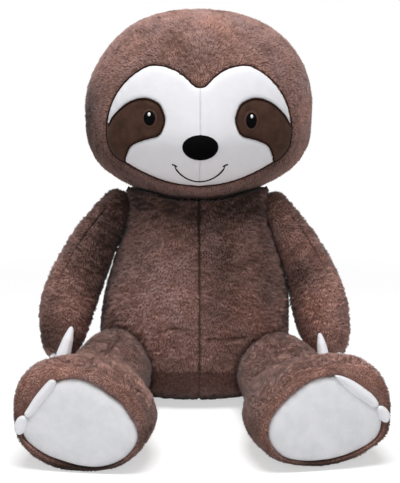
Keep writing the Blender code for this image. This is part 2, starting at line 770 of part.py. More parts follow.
def foot_point(spine, share, sign, turn, wide, high, amount, shift=0.0, bulge=0.0):
    """A point of one of the leg's rings, a turn round from its outer end.

    The amount, from 0 to 1, tilts that end up as far as the foot's. The bulge, also from 0 to 1, moves the
    ring's centre outwards and upwards from the spine.
    """
    across, rise = spine.frame(share, Vector((0, 0, 1)))
    across = across * math.copysign(1, across.x * sign)
    tilt = math.radians(FOOT_ROLL) * amount
    out = math.cos(turn) * wide + FOOT_BULGE_OUT * bulge
    up = math.sin(turn) * high + FOOT_BULGE_UP * bulge
    middle = spine.place(share) + spine.run(share) * shift
    return middle + across * (out * math.cos(tilt) - up * math.sin(tilt)) + rise * (
        out * math.sin(tilt) + up * math.cos(tilt)
    )


def foot_ring(spine, share, sign, wide, high, amount, shift=0.0, bulge=0.0, sides=LEG_SIDES):
    return [foot_point(spine, share, sign, turn, wide, high, amount, shift, bulge) for turn in turns(sides)]


def leg_form(name, sign):
    spine = leg_spine(name, sign)
    rings = [foot_ring(spine, 0, sign, girth, girth, 0, shift) for girth, shift in half_ball(THIGH_RADIUS)]
    for share, growth, girth in LEG_SHARES:
        wide = (THIGH_RADIUS + (FOOT_WIDTH / 2 - THIGH_RADIUS) * growth) * girth
        high = (THIGH_RADIUS + (FOOT_HEIGHT / 2 - THIGH_RADIUS) * growth) * girth
        rings.append(foot_ring(spine, share, sign, wide, high, growth, bulge=growth))
    rim_wide = (SOLE_WIDTH + (FOOT_WIDTH - SOLE_WIDTH) * RIM_SHARE) / 2
    rim_high = (SOLE_HEIGHT + (FOOT_HEIGHT - SOLE_HEIGHT) * RIM_SHARE) / 2
    rings.append(foot_ring(spine, 1, sign, rim_wide, rim_high, 1, bulge=RIM_BULGE_SHARE))
    for girth, rise in SOLE_SHARES:
        wide, high = SOLE_WIDTH / 2 * girth, SOLE_HEIGHT / 2 * girth
        rings.append(foot_ring(spine, 1, sign, wide, high, 1, SOLE_DOME * rise))
    return lofted(rings)


def sole_cutter(name, spine, sign, extra):
    """A drum across the foot's front, as wide as the sole and an extra all round."""
    wide, high = SOLE_WIDTH / 2 + extra, SOLE_HEIGHT / 2 + extra
    ends = (-OVERRUN / 2, OVERRUN)
    return mesh_object(
        name, lofted([foot_ring(spine, 1, sign, wide, high, 1, end, sides=ROUND_SIDES) for end in ends])
    )


def leg(name, sign, form, materials):
    spine = leg_spine(name, sign)
    made = [mesh_object(f"leg_{name}_filling", skin(form, COVER + SEAT_GAP, 0), materials["filling"])]
    panels = halves(f"leg_{name}", form, spine, "Z", 0, materials["fur"])
    cut = sole_cutter(f"sole_{name}_cut", spine, sign, -SEAM_GAP)
    hole = sole_cutter(f"sole_{name}_hole", spine, sign, 0)
    for panel in panels:
        boolean(panel, "DIFFERENCE", hole)
    sole = mesh_object(f"sole_{name}", shell(form, 0, COVER, 0), materials["white"])
    made += [*panels, boolean(sole, "INTERSECT", cut)]
    bed = mesh_object(f"leg_{name}_bed", skin(form, -SEAT_GAP))
    for label, ends in FOOT_CLAW_TURNS.items():
        claw = lofted(foot_claw_rings(spine, sign, ends, FOOT_CLAW_REACH_SHARES[label]))
        claw = mesh_object(f"foot_claw_{name}_{label}", claw, materials["white"])
        made.append(boolean(claw, "DIFFERENCE", bed))
    return made


def foot_claw_rings(spine, sign, ends, reaches):
    """Rings of a claw that lies round the sole's rim. Its root end is sunk in the foot's seam."""
    line = []
    for place, _ in evenly(FOOT_CLAW_GIRTH_SHARES):
        turn = math.radians(ends[0] + (ends[1] - ends[0]) * place)
        reach = reaches[0] + (reaches[1] - reaches[0]) * place
        wide, high = SOLE_WIDTH / 2 * reach, SOLE_HEIGHT / 2 * reach
        line.append(foot_point(spine, 1, sign, turn, wide, high, 1, FOOT_CLAW_RADIUS * (0.5 + place / 2)))
    rings = []
    for index, girth in enumerate(FOOT_CLAW_GIRTH_SHARES):
        run = (line[min(index + 1, len(line) - 1)] - line[max(index - 1, 0)]).normalized()
        across = run.cross(spine.run(1)).normalized()
        rise = across.cross(run)
        across, rise = across * FOOT_CLAW_RADIUS * girth, rise * FOOT_CLAW_RADIUS * girth
        turned = turns(CLAW_SIDES)
        rings.append([line[index] + across * math.cos(turn) + rise * math.sin(turn) for turn in turned])
    return rings


def build():
    clear_scene()
    materials = {
        "fur": material("brown plush", FUR_BROWN),
        "seat": material("short brown plush", SEAT_BROWN),
        "white": material("white velour", FACE_WHITE),
        "patch": material("dark brown velour", PATCH_BROWN),
        "black": material("black embroidery thread", THREAD_BLACK),
        "white_thread": material("white embroidery thread", THREAD_WHITE),
        "nose": material("black velour", NOSE_BLACK),
        "filling": material("polyester filling", FILLING_WHITE),
    }
    body_form = torso_form()
    arm_forms = {name: arm_form(name, sign, body_form) for name, sign in SIDES_OF_TOY.items()}
    torso(body_form, torso_sockets(arm_forms), materials)
    joint_empty("neck_joint", NECK_CENTRE, [neck(materials["filling"]), *head(materials)])
    for name, sign in SIDES_OF_TOY.items():
        joint_empty(f"shoulder_joint_{name}", SHOULDER[name], arm(name, sign, arm_forms[name], materials))
        joint_empty(f"hip_joint_{name}", HIP[name], leg(name, sign, leg_form(name, sign), materials))


build()
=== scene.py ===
import math

import bmesh
import bpy
import numpy as np
from mathutils import Matrix, Vector
from mathutils.bvhtree import BVHTree
from mathutils.geometry import delaunay_2d_cdt
from mathutils.kdtree import KDTree


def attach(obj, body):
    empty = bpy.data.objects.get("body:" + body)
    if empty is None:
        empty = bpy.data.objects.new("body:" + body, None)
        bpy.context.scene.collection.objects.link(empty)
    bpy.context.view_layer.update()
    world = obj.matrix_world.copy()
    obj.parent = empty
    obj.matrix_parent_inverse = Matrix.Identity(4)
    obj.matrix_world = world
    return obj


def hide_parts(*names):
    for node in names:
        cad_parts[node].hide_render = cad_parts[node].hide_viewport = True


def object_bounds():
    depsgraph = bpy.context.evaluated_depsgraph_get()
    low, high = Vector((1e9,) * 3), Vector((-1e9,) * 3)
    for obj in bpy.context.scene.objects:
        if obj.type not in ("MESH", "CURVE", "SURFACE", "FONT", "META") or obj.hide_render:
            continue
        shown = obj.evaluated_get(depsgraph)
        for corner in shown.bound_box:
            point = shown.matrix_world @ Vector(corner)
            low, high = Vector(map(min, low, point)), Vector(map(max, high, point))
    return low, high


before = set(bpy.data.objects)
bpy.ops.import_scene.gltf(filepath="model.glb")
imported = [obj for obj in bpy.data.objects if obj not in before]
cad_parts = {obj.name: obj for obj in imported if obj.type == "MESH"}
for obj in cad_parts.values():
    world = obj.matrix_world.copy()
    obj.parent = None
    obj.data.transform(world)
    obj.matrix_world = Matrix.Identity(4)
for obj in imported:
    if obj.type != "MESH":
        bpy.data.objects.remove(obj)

# The seated plush sloth as the maker's cloth shows it: plush panels with a short brown pile, a face and soles
# of white velour, embroidered eyes and smile. It faces -Y, its left is +X, and it sits on z = 0.

MODEL_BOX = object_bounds()
SIDES_OF_TOY = {"left": 1, "right": -1}
UP = np.array((0.0, 0.0, 1.0))

# Cloth
COVER = 0.0030
SEAM_DEPTH = 0.0030
SEAM_REACH = 0.0036
SEAM_GATHER = 0.6
CLEAR = 0.0008
SOCKET = 0.0010

# Stuffed forms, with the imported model's own sizes
TORSO_HEIGHT, TORSO_WIDTH, TORSO_DEPTH = 0.322, 0.296, 0.230
TORSO_SQUARENESS = 2.2
# (height, width, front, back)
TORSO_SHARES = [
    (0.000, 0.60, 0.46, 0.64),
    (0.032, 0.79, 0.69, 0.81),
    (0.095, 0.925, 0.89, 0.93),
    (0.210, 0.99, 0.99, 0.99),
    (0.380, 1.00, 1.00, 1.00),
    (0.540, 0.99, 0.95, 0.96),
    (0.690, 0.91, 0.865, 0.87),
    (0.840, 0.80, 0.775, 0.785),
    (0.935, 0.770, 0.71, 0.73),
    (0.982, 0.765, 0.665, 0.68),
    (0.997, 0.70, 0.58, 0.60),
    (0.960, 0.33, 0.38, 0.40),
]
# The torso's top dips under the chin and rises beside it to the shoulders
SHOULDER_RISE, SHOULDER_INNER, SHOULDER_OUTER = 0.014, 0.030, 0.092
RIGHT_HIP_SWELL, RIGHT_HIP_UP, RIGHT_HIP_SPREAD = 0.010, 0.34, 0.17
SEAT_TOP = TORSO_HEIGHT * 0.193
# Soft folds on the front of the belly, each through (across, up) places
CREASES = [
    [(0.012, 0.116), (0.038, 0.112), (0.066, 0.115), (0.090, 0.104)],
    [(-0.018, 0.126), (-0.042, 0.130), (-0.064, 0.122)],
]
HEAD_HEIGHT, HEAD_WIDTH, HEAD_DEPTH = 0.300, 0.351, 0.290
HEAD_SQUARENESS = 2.1
CHIN = TORSO_HEIGHT - 0.009
HEAD_SHARES = [
    (-0.004, 0.02, 0.02, 0.02),
    (0.000, 0.13, 0.14, 0.14),
    (0.018, 0.30, 0.30, 0.30),
    (0.060, 0.49, 0.49, 0.48),
    (0.125, 0.685, 0.69, 0.66),
    (0.205, 0.85, 0.85, 0.81),
    (0.310, 0.962, 0.965, 0.93),
    (0.430, 0.998, 1.00, 0.99),
    (0.550, 0.996, 0.99, 1.00),
    (0.665, 0.948, 0.94, 0.955),
    (0.770, 0.855, 0.84, 0.865),
    (0.860, 0.722, 0.71, 0.735),
    (0.935, 0.545, 0.53, 0.56),
    (0.983, 0.33, 0.32, 0.34),
    (1.000, 0.14, 0.14, 0.14),
    (1.004, 0.02, 0.02, 0.02),
]
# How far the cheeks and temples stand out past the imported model's: (height, left, right)
HEAD_SIDES = [
    (0.00, 0.000, 0.000),
    (0.10, 0.005, 0.007),
    (0.20, 0.009, 0.008),
    (0.32, 0.007, 0.004),
    (0.45, 0.005, 0.002),
    (0.60, 0.006, 0.001),
    (0.80, 0.008, -0.001),
    (0.93, 0.008, 0.001),
    (1.01, 0.004, 0.002),
]
MUZZLE_SWELL, MUZZLE_SPREAD, MUZZLE_UP_SHARE = 0.012, 0.060, 0.27
BACK_SEAM = HEAD_DEPTH / 2 * 0.10

SHOULDER = {name: np.array((sign * 0.12136, 0.0, 0.30751)) for name, sign in SIDES_OF_TOY.items()}
SHOULDER_RADIUS = 0.034
ARM_OUT = {"left": 0.090, "right": 0.096}
ARM_BOW = {"left": 0.043, "right": 0.050}
ARM_FORWARD, ARM_BEND_SHARE = 0.052, 0.44
PAW_LIFT, PAW_RADIUS = 0.066, 0.038
# (length, girth of the outer side, of the inner side, and from front to back)
ARM_SHARES = {
    "left": [
        (0.00, 0.62, 0.84, 0.84),
        (0.12, 0.67, 0.95, 0.86),
        (0.30, 0.78, 1.10, 0.94),
        (0.50, 0.94, 1.21, 1.01),
        (0.70, 1.04, 1.34, 1.03),
        (0.85, 0.93, 1.22, 0.95),
        (0.95, 0.68, 0.88, 0.70),
        (1.00, 0.30, 0.38, 0.32),
        (1.015, 0.03, 0.03, 0.03),
    ],
    "right": [
        (0.00, 0.80, 0.84, 0.84),
        (0.12, 0.86, 0.90, 0.86),
        (0.30, 0.95, 1.06, 0.94),
        (0.50, 1.07, 1.20, 1.01),
        (0.70, 1.18, 1.15, 1.03),
        (0.85, 1.00, 0.98, 0.95),
        (0.95, 0.72, 0.70, 0.70),
        (1.00, 0.32, 0.30, 0.32),
        (1.015, 0.03, 0.03, 0.03),
    ],
}
SHOULDER_CAP = {"left": 0.54, "right": 0.62}
# The arm's seams lie this far round towards the torso in front, and away from it behind
ARM_SEAM_TURN = math.radians(32)

HIP = {name: np.array((sign * 0.11396, -0.0851, 0.0625)) for name, sign in SIDES_OF_TOY.items()}
THIGH_RADIUS, LEG_LENGTH = 0.0625, 0.270
LEG_SPLAY = math.radians(8.7)
FOOT_WIDTH, FOOT_HEIGHT, FOOT_CENTRE_HEIGHT = 0.189, 0.134, 0.066
FOOT_BULGE_OUT, FOOT_BULGE_UP = 0.005, 0.003
FOOT_ROLL = math.radians(19.5)
# The thigh's own width and height, and how far it lies out and up from the hip
THIGH_SHAPE = {"left": (1.02, 0.0050, 0.92, -0.0035), "right": (0.93, 0.0150, 0.99, 0.0000)}
# (length, growth from thigh to foot, girth, height, fullness of the inner side)
LEG_SHARES = [
    (0.00, 0.00, 1.00, 1.00, 0.0),
    (0.20, 0.00, 1.00, 1.00, 0.4),
    (0.42, 0.04, 0.95, 0.96, 1.0),
    (0.58, 0.42, 0.97, 0.92, 1.0),
    (0.73, 0.86, 1.00, 0.95, 0.4),
    (0.87, 1.00, 1.00, 1.00, 0.0),
    (0.965, 0.97, 0.985, 1.00, 0.0),
    (1.000, 0.88, 0.96, 1.00, 0.0),
]
INNER_FULLNESS = {"left": 0.016, "right": 0.009}
# The feet aren't quite oval. (degrees from outwards over upwards, size) of each foot and of its sole
FOOT_EDGE = {
    "left": [(0, 0.92), (15, 0.94), (30, 0.97), (43, 0.99), (60, 0.98), (78, 0.98), (92, 0.98), (110, 0.99), (130, 1.0),
             (152, 1.05), (168, 1.06), (182, 1.04), (205, 1.03), (232, 0.96), (259, 0.98), (278, 1.02), (296, 1.05),
             (311, 1.10), (322, 1.02), (335, 0.95), (348, 0.92)],
    "right": [(0, 0.97), (15, 1.00), (34, 1.00), (52, 0.98), (69, 0.96), (85, 0.98), (100, 1.00), (120, 1.0), (140, 1.0),
              (155, 1.01), (169, 0.98), (184, 0.95), (202, 0.96), (223, 1.01), (237, 1.01), (250, 1.04), (274, 1.15),
              (291, 1.18), (303, 1.17), (314, 1.11), (326, 1.03), (338, 0.98)],
}
SOLE_EDGE = {
    "left": [(6, 0.83), (24, 0.77), (43, 0.82), (63, 0.96), (83, 1.01), (98, 1.01), (113, 0.98), (130, 1.0), (146, 1.045),
             (160, 1.07), (176, 1.065), (192, 1.05), (208, 1.03), (227, 0.97), (249, 0.945), (267, 0.98), (285, 1.04),
             (299, 1.12), (310, 1.17), (320, 1.12), (334, 1.05), (348, 0.93)],
    "right": [(4, 0.84), (23, 0.84), (46, 0.91), (66, 0.97), (78, 0.95), (92, 0.91), (109, 0.87), (125, 0.90),
              (147, 0.92), (163, 0.99), (175, 1.015), (203, 1.01), (221, 1.02), (242, 1.05), (259, 1.06), (275, 1.085),
              (288, 1.155), (299, 1.20), (312, 1.25), (322, 1.21), (332, 1.09), (347, 0.91)],
}
SOLE_WIDTH, SOLE_HEIGHT, SOLE_DOME = 0.150, 0.110, 0.007
# (way from the foot's end to the sole's seam, girth, rise) of the foot's rim, and (girth, rise) of the sole's own dome
RIM_SHARES = [(0.00, 1.00, 0.00), (0.50, 1.00, 0.55), (0.82, 1.00, 0.35), (1.00, 1.00, -0.30), (1.00, 0.944, -0.45)]
SOLE_SHARES = [(0.985, -0.25), (0.965, 0.15), (0.92, 0.42), (0.82, 0.68), (0.62, 0.88), (0.35, 0.98), (0.10, 1.0)]
# Claws on the foot, each through (outwards, upwards, width) places in millimetres from the sole's middle
FOOT_CLAWS = {
    "left": {
        "upper": [(9.0, 57.0, 3.0), (19.4, 51.0, 9.0), (30.0, 43.0, 14.0), (42.0, 34.0, 15.0), (54.6, 25.0, 13.5), (66.3, 14.4, 8.5)],
        "outer": [(67.1, 13.5, 8.0), (72.6, 7.0, 13.5), (76.6, -0.5, 14.5), (78.4, -7.5, 7.0)],
    },
    "right": {
        "upper": [(34.5, 52.5, 6.0), (38.0, 47.9, 11.0), (46.8, 36.9, 12.6), (56.5, 24.6, 12.6), (65.2, 12.3, 11.0), (72.2, 4.7, 8.5)],
        "outer": [(72.9, 3.9, 9.0), (77.3, -3.0, 15.0), (80.4, -12.0, 15.5), (82.0, -19.5, 8.0)],
    },
}
CLAW_THICKNESS, CLAW_RISE = 0.0095, 0.0030
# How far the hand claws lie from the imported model's: (across, up, lean of the tip across, slimness)
HAND_CLAW_SHIFT = {
    "left": {"front": (-0.0120, -0.0070, 0.0010, 0.80), "rear": (-0.0120, -0.0070, 0.0, 1.0)},
    "right": {"front": (-0.0010, 0.0045, 0.0085, 1.0), "rear": (0.0120, 0.0, 0.0070, 1.0)},
}

# Face, all in shares of its own width and height, from its lowest point
FACE_WIDTH, FACE_HEIGHT = 0.276, 0.180
FACE_BASE = CHIN + HEAD_HEIGHT * 0.098
FACE_OUTLINE_SHARES = [
    (0.000, 0.815),
    (0.040, 0.820),
    (0.075, 0.838),
    (0.132, 0.884),
    (0.200, 0.926),
    (0.270, 0.958),
    (0.370, 0.984),
    (0.497, 0.996),
    (0.620, 0.962),
    (0.748, 0.892),
    (0.858, 0.800),
    (0.940, 0.690),
    (0.990, 0.560),
    (1.000, 0.438),
    (0.970, 0.320),
    (0.885, 0.240),
    (0.790, 0.200),
    (0.657, 0.142),
    (0.451, 0.070),
    (0.250, 0.026),
    (0.000, 0.004),
]
PATCH_OUTLINE_SHARES = [
    (0.371, 0.556),
    (0.393, 0.624),
    (0.446, 0.688),
    (0.586, 0.726),
    (0.754, 0.690),
    (0.903, 0.595),
    (0.982, 0.503),
    (1.120, 0.380),
    (1.080, 0.120),
    (0.845, 0.140),
    (0.800, 0.245),
    (0.733, 0.348),
    (0.596, 0.399),
    (0.443, 0.433),
    (0.393, 0.488),
]
# (width, height, place outwards and up in shares of the face) of each eye
EYES = {"left": (0.0172, 0.0228, 0.532, 0.552), "right": (0.0180, 0.0212, 0.524, 0.570)}
SMILE_WIDTH, SMILE_DROP, SMILE_UP_SHARE, SMILE_TICK = 0.073, 0.0235, 0.190, 0.0085

# Pile: a short plush, drawn with tufts instead of single fibres
PILE_LENGTH = 0.0050
HOOD_PILE = 0.0040
PILE_WIDTH = 0.0016
PILE_LEAN = math.radians(44)
TUFTS_PER_AREA = 380_000
CLUMP = 0.0040
# Ripples across the comb stand about two thirds of this apart
RIPPLE = 0.0130
# How far the tips stand off the cloth
PILE_RISE = 0.0030
# Spots where the pile's colour is made paler or darker. Most are painted light and shade: darker under the chin, on the
# upper arms, where arms, legs and torso meet and on the hood's left side, paler on the tops of the feet and the lower
# arms; the rest follow the lie of the pile: (x, y, z, reach, how much paler)
PAINTED_SHADE_LIGHT_AND_LAY = [
    # Head
    (-0.040, -0.10, 0.541, 0.070, -0.20),
    (0.080, -0.09, 0.549, 0.050, 0.02),
    (0.139, -0.06, 0.465, 0.030, 0.20),
    (-0.135, -0.05, 0.480, 0.035, -0.16),
    (-0.163, -0.03, 0.443, 0.055, -0.45),
    (-0.143, -0.06, 0.395, 0.040, -0.25),
    (-0.111, -0.09, 0.365, 0.040, -0.26),
    (-0.128, -0.06, 0.515, 0.040, 0.10),
    (0.167, -0.03, 0.450, 0.040, 0.16),
    (0.107, -0.09, 0.365, 0.040, -0.26),
    (0.121, -0.09, 0.383, 0.035, -0.16),
    (0.000, -0.12, 0.336, 0.060, 0.12),
    (-0.060, -0.05, 0.585, 0.045, 0.12),
    (0.000, -0.13, 0.512, 0.030, -0.12),
    (0.150, -0.05, 0.455, 0.025, 0.14),
    # Chest and belly
    (0.000, -0.10, 0.190, 0.110, -0.09),
    (0.000, -0.09, 0.296, 0.024, -0.14),
    (0.077, -0.09, 0.308, 0.030, -0.16),
    (0.115, -0.05, 0.301, 0.030, -0.20),
    (-0.115, -0.04, 0.322, 0.028, -0.45),
    (0.118, -0.04, 0.322, 0.024, -0.20),
    (-0.090, -0.09, 0.247, 0.035, -0.08),
    (-0.155, -0.03, 0.190, 0.026, -0.40),
    (-0.155, -0.03, 0.145, 0.026, -0.40),
    (-0.125, -0.08, 0.125, 0.030, -0.26),
    (0.152, -0.03, 0.175, 0.026, -0.30),
    (0.152, -0.03, 0.130, 0.026, -0.34),
    (0.000, -0.08, 0.030, 0.060, -0.08),
    (0.000, -0.08, 0.062, 0.020, -0.10),
    (0.040, -0.09, 0.055, 0.030, -0.16),
    (-0.090, -0.06, 0.318, 0.028, -0.45),
    (-0.045, -0.08, 0.312, 0.028, -0.45),
    (0.000, -0.09, 0.308, 0.028, -0.45),
    (0.045, -0.08, 0.312, 0.030, -0.50),
    (0.090, -0.06, 0.316, 0.030, -0.45),
    (-0.045, -0.11, 0.160, 0.060, 0.32),
    (-0.011, -0.11, 0.220, 0.035, 0.13),
    (0.040, -0.11, 0.240, 0.040, -0.36),
    (0.030, -0.11, 0.200, 0.030, -0.12),
    (0.117, -0.08, 0.198, 0.030, -0.30),
    (0.049, -0.11, 0.157, 0.030, -0.16),
    (0.080, -0.10, 0.128, 0.025, 0.16),
    (0.000, -0.10, 0.094, 0.040, 0.10),
    # Arms
    (-0.190, -0.05, 0.180, 0.070, -0.10),
    (0.190, -0.05, 0.180, 0.070, -0.07),
    (-0.226, -0.06, 0.112, 0.034, -0.55),
    (0.170, -0.05, 0.200, 0.022, -0.18),
    (-0.137, -0.02, 0.285, 0.040, -0.45),
    (-0.160, -0.04, 0.235, 0.040, -0.40),
    (-0.196, -0.07, 0.143, 0.030, 0.30),
    (0.156, -0.05, 0.205, 0.025, -0.26),
    (0.150, -0.03, 0.315, 0.020, 0.14),
    (0.206, -0.06, 0.176, 0.038, 0.30),
    (0.197, -0.07, 0.138, 0.028, 0.22),
    # Feet and thighs
    (-0.190, -0.33, 0.126, 0.050, 0.40),
    (-0.125, -0.29, 0.110, 0.040, 0.16),
    (-0.080, -0.28, 0.060, 0.045, 0.45),
    (-0.095, -0.29, 0.092, 0.035, 0.22),
    (-0.068, -0.30, 0.050, 0.026, 0.25),
    (-0.050, -0.12, 0.030, 0.030, -0.25),
    (-0.158, -0.13, 0.115, 0.026, -0.28),
    (0.162, -0.15, 0.115, 0.026, -0.20),
    (0.200, -0.32, 0.120, 0.060, 0.42),
    (0.083, -0.20, 0.115, 0.040, -0.20),
    (0.070, -0.28, 0.060, 0.035, -0.14),
]

# Places where the pile's colour is greyer, or warmer: (x, y, z, reach, how much greyer)
FADED = [
    (-0.060, -0.10, 0.200, 0.070, 0.45),
    (0.030, -0.10, 0.290, 0.050, 0.25),
    (-0.050, -0.10, 0.110, 0.050, 0.20),
    (0.070, -0.10, 0.170, 0.040, -0.25),
    (-0.200, -0.06, 0.170, 0.060, -0.20),
    (0.200, -0.06, 0.170, 0.060, -0.20),
    (-0.150, -0.25, 0.090, 0.110, -0.35),
    (0.150, -0.25, 0.090, 0.110, -0.40),
]

# Face cloth, laid on the head with points a step apart
SHEET_STEP = 0.0030
SHEET_LIFT = 0.0012


# Materials


def hex_colour(text):
    """An sRGB hex colour as the linear values that a shader takes."""
    values = [int(text[at:at + 2], 16) / 255 for at in (1, 3, 5)]
    return tuple(v / 12.92 if v <= 0.04045 else ((v + 0.055) / 1.055) ** 2.4 for v in values) + (1.0,)


def add(tree, kind, settings=None, inputs=None):
    """A shader node with its settings. Each input takes a value, or another node's output as a link."""
    made = tree.nodes.new("ShaderNode" + kind)
    for name, value in (settings or {}).items():
        setattr(made, name, value)
    for name, value in (inputs or {}).items():
        if isinstance(value, bpy.types.NodeSocket):
            tree.links.new(value, made.inputs[name])
        else:
            made.inputs[name].default_value = value
    return made


def new_material(name):
    made = bpy.data.materials.new(name)
    made.use_nodes = True
    tree = made.node_tree
    tree.nodes.clear()
    output = add(tree, "OutputMaterial")
    shader = add(tree, "BsdfPrincipled")
    tree.links.new(shader.outputs[0], output.inputs["Surface"])
    return made, tree, shader


def ramp(tree, factor, stops):
    """A colour ramp through (place, hex colour) stops."""
    made = add(tree, "ValToRGB", inputs={"Fac": factor})
    elements = made.color_ramp.elements
    while len(elements) < len(stops):
        elements.new(0.5)
    for element, (place, colour) in zip(elements, stops):
        element.position = place
        element.color = hex_colour(colour)
    return made.outputs["Color"]


def polyester_pile(name, root, middle, tip, grey, pressed_down):
    """Cut polyester pile: paler at the tips and darker towards the roots, which is painted shade between the tufts,
    with patches where it lies another way.
    """
    made, tree, shader = new_material(name)
    place = add(tree, "TexCoord").outputs["Object"]
    reach = add(tree, "Attribute", {"attribute_name": "reach"}).outputs["Fac"]
    tone = add(tree, "Attribute", {"attribute_name": "tone"}).outputs["Fac"]
    # The ramp from darker roots to paler tips is painted shade between the tufts
    strand = ramp(tree, reach, [(0.0, root), (0.55, middle), (1.0, tip)])
    # The pile has faded greyer in patches, and is darker where it is pressed every 15 mm or so
    lay = add(tree, "TexNoise", inputs={"Vector": place, "Scale": 70.0, "Detail": 3.0, "Roughness": 0.65})
    pressing = add(tree, "MapRange", inputs={
        "Value": lay.outputs["Fac"], "From Min": 0.50, "From Max": 0.66, "To Min": 0.0, "To Max": 0.45,
    })
    fading = add(tree, "Attribute", {"attribute_name": "faded"}).outputs["Fac"]
    mixed = strand
    for amount, colour in ((fading, grey), (pressing.outputs[0], pressed_down)):
        patched = add(tree, "Mix", {"data_type": "RGBA"}, {"Factor": amount})
        tree.links.new(mixed, patched.inputs["A"])
        patched.inputs["B"].default_value = hex_colour(colour)
        mixed = patched.outputs["Result"]
    # The tone attribute brings painted light and shade as well as the pile's own mottled tone
    brightness = add(tree, "MapRange", inputs={"Value": tone, "To Min": 0.12, "To Max": 1.60})
    toned = add(tree, "HueSaturation", inputs={"Value": brightness.outputs[0], "Color": mixed})
    tree.links.new(toned.outputs["Color"], shader.inputs["Base Color"])
    shader.inputs["Roughness"].default_value = 0.85
    shader.inputs["Specular IOR Level"].default_value = 0.25
    shader.inputs["Sheen Weight"].default_value = 0.12
    shader.inputs["Sheen Roughness"].default_value = 0.5
    return made


def knitted_backing(name, colour):
    """The knitted ground that the pile stands in: dull, and seen only between the tufts."""
    made, tree, shader = new_material(name)
    place = add(tree, "TexCoord").outputs["Object"]
    # Loops of the knit, 1 mm apart
    loops = add(tree, "TexVoronoi", inputs={"Vector": place, "Scale": 1000.0})
    bump = add(tree, "Bump", inputs={"Strength": 0.3, "Distance": 0.0004, "Height": loops.outputs["Distance"]})
    shade = add(tree, "MapRange", inputs={"Value": loops.outputs["Distance"], "To Min": 0.8, "To Max": 1.15})
    # The tone attribute darkens the ground with painted shade at the seams, near the floor and in the painted spots,
    # and pales it with painted light
    tone = add(tree, "Attribute", {"attribute_name": "tone"}).outputs["Fac"]
    brightness = add(tree, "MapRange", inputs={"Value": tone, "To Min": 0.12, "To Max": 1.60})
    shaded = add(tree, "HueSaturation", inputs={"Value": shade.outputs[0], "Color": hex_colour(colour)})
    toned = add(tree, "HueSaturation", inputs={"Value": brightness.outputs[0], "Color": shaded.outputs["Color"]})
    tree.links.new(toned.outputs["Color"], shader.inputs["Base Color"])
    tree.links.new(bump.outputs["Normal"], shader.inputs["Normal"])
    shader.inputs["Roughness"].default_value = 0.95
    shader.inputs["Specular IOR Level"].default_value = 0.2
    return made


def velour(name, light, shaded, nap=0.0012, sheen=0.15, gloss=0.25):
    """Velour: a nap under a millimetre long, soft to light, with faint brushed patches."""
    made, tree, shader = new_material(name)
    place = add(tree, "TexCoord").outputs["Object"]
    brushed = add(tree, "TexNoise", inputs={"Vector": place, "Scale": 55.0, "Detail": 3.0, "Roughness": 0.6})
    # The nap is finer than the picture, so it is drawn a few times too coarse
    fibres = add(tree, "TexNoise", inputs={"Vector": place, "Scale": 1 / nap, "Detail": 3.0, "Roughness": 0.7})
    mixed = add(tree, "Math", {"operation": "MULTIPLY_ADD"})
    tree.links.new(fibres.outputs["Fac"], mixed.inputs[0])
    mixed.inputs[1].default_value = 0.5
    tree.links.new(brushed.outputs["Fac"], mixed.inputs[2])
    colour = ramp(tree, mixed.outputs[0], [(0.55, shaded), (0.95, light)])
    bump = add(tree, "Bump", inputs={"Strength": 0.25, "Distance": 0.0005, "Height": fibres.outputs["Fac"]})
    tree.links.new(colour, shader.inputs["Base Color"])
    tree.links.new(bump.outputs["Normal"], shader.inputs["Normal"])
    shader.inputs["Roughness"].default_value = 0.9
    shader.inputs["Specular IOR Level"].default_value = gloss
    shader.inputs["Sheen Weight"].default_value = sheen
    shader.inputs["Sheen Roughness"].default_value = 0.4
    return made


def satin_stitch(name, colour, light):
    """Rayon thread laid side by side, threads 0.4 mm wide: a faint gloss, and a paler band across each thread that is
    painted sheen.
    """
    made, tree, shader = new_material(name)
    place = add(tree, "TexCoord").outputs["Object"]
    threads = add(tree, "TexWave", {"bands_direction": "Z"}, {
        "Vector": place, "Scale": 400.0, "Distortion": 1.5, "Detail": 1.0,
    })
    # The paler band of each thread is painted sheen
    colours = ramp(tree, threads.outputs["Fac"], [(0.2, colour), (0.9, light)])
    bump = add(tree, "Bump", inputs={"Strength": 0.5, "Distance": 0.0002, "Height": threads.outputs["Fac"]})
    tree.links.new(colours, shader.inputs["Base Color"])
    tree.links.new(bump.outputs["Normal"], shader.inputs["Normal"])
    shader.inputs["Roughness"].default_value = 0.5
    shader.inputs["Specular IOR Level"].default_value = 0.03
    return made


BROWN_PILE = polyester_pile("brown plush pile", "#9c7467", "#b3877b", "#bb9083", "#a38886", "#8c6459")
# The grounds are darker than the pile, partly as painted shade in the gaps between the tufts
BROWN_GROUND = knitted_backing("brown knitted ground", "#74544a")
SEAT_PILE = polyester_pile("short brown plush pile", "#7b5850", "#8b665d", "#927067", "#836963", "#704d46")
SEAT_GROUND = knitted_backing("dark knitted ground", "#64463f")
WHITE_VELOUR = velour("white velour", "#efeff3", "#eaeaee")
SOLE_VELOUR = velour("white sole velour", "#e8e8eb", "#dbdce0")
DARK_VELOUR = velour("dark brown velour", "#4e3529", "#37231a", sheen=0.03)
NOSE_VELOUR = velour("black velour", "#050506", "#010101", sheen=0.0, gloss=0.05)
BLACK_THREAD = satin_stitch("black embroidery thread", "#030304", "#08070a")
WHITE_THREAD = satin_stitch("white embroidery thread", "#f2f2f4", "#ffffff")
EDGE_THREAD = satin_stitch("dark brown embroidery thread", "#1f120e", "#33201a")
RING_THREAD = satin_stitch("brown embroidery thread", "#4a352d", "#5d463c")


# Stuffed forms


def unit(vectors):
    return vectors / np.linalg.norm(vectors, axis=-1, keepdims=True).clip(1e-12)


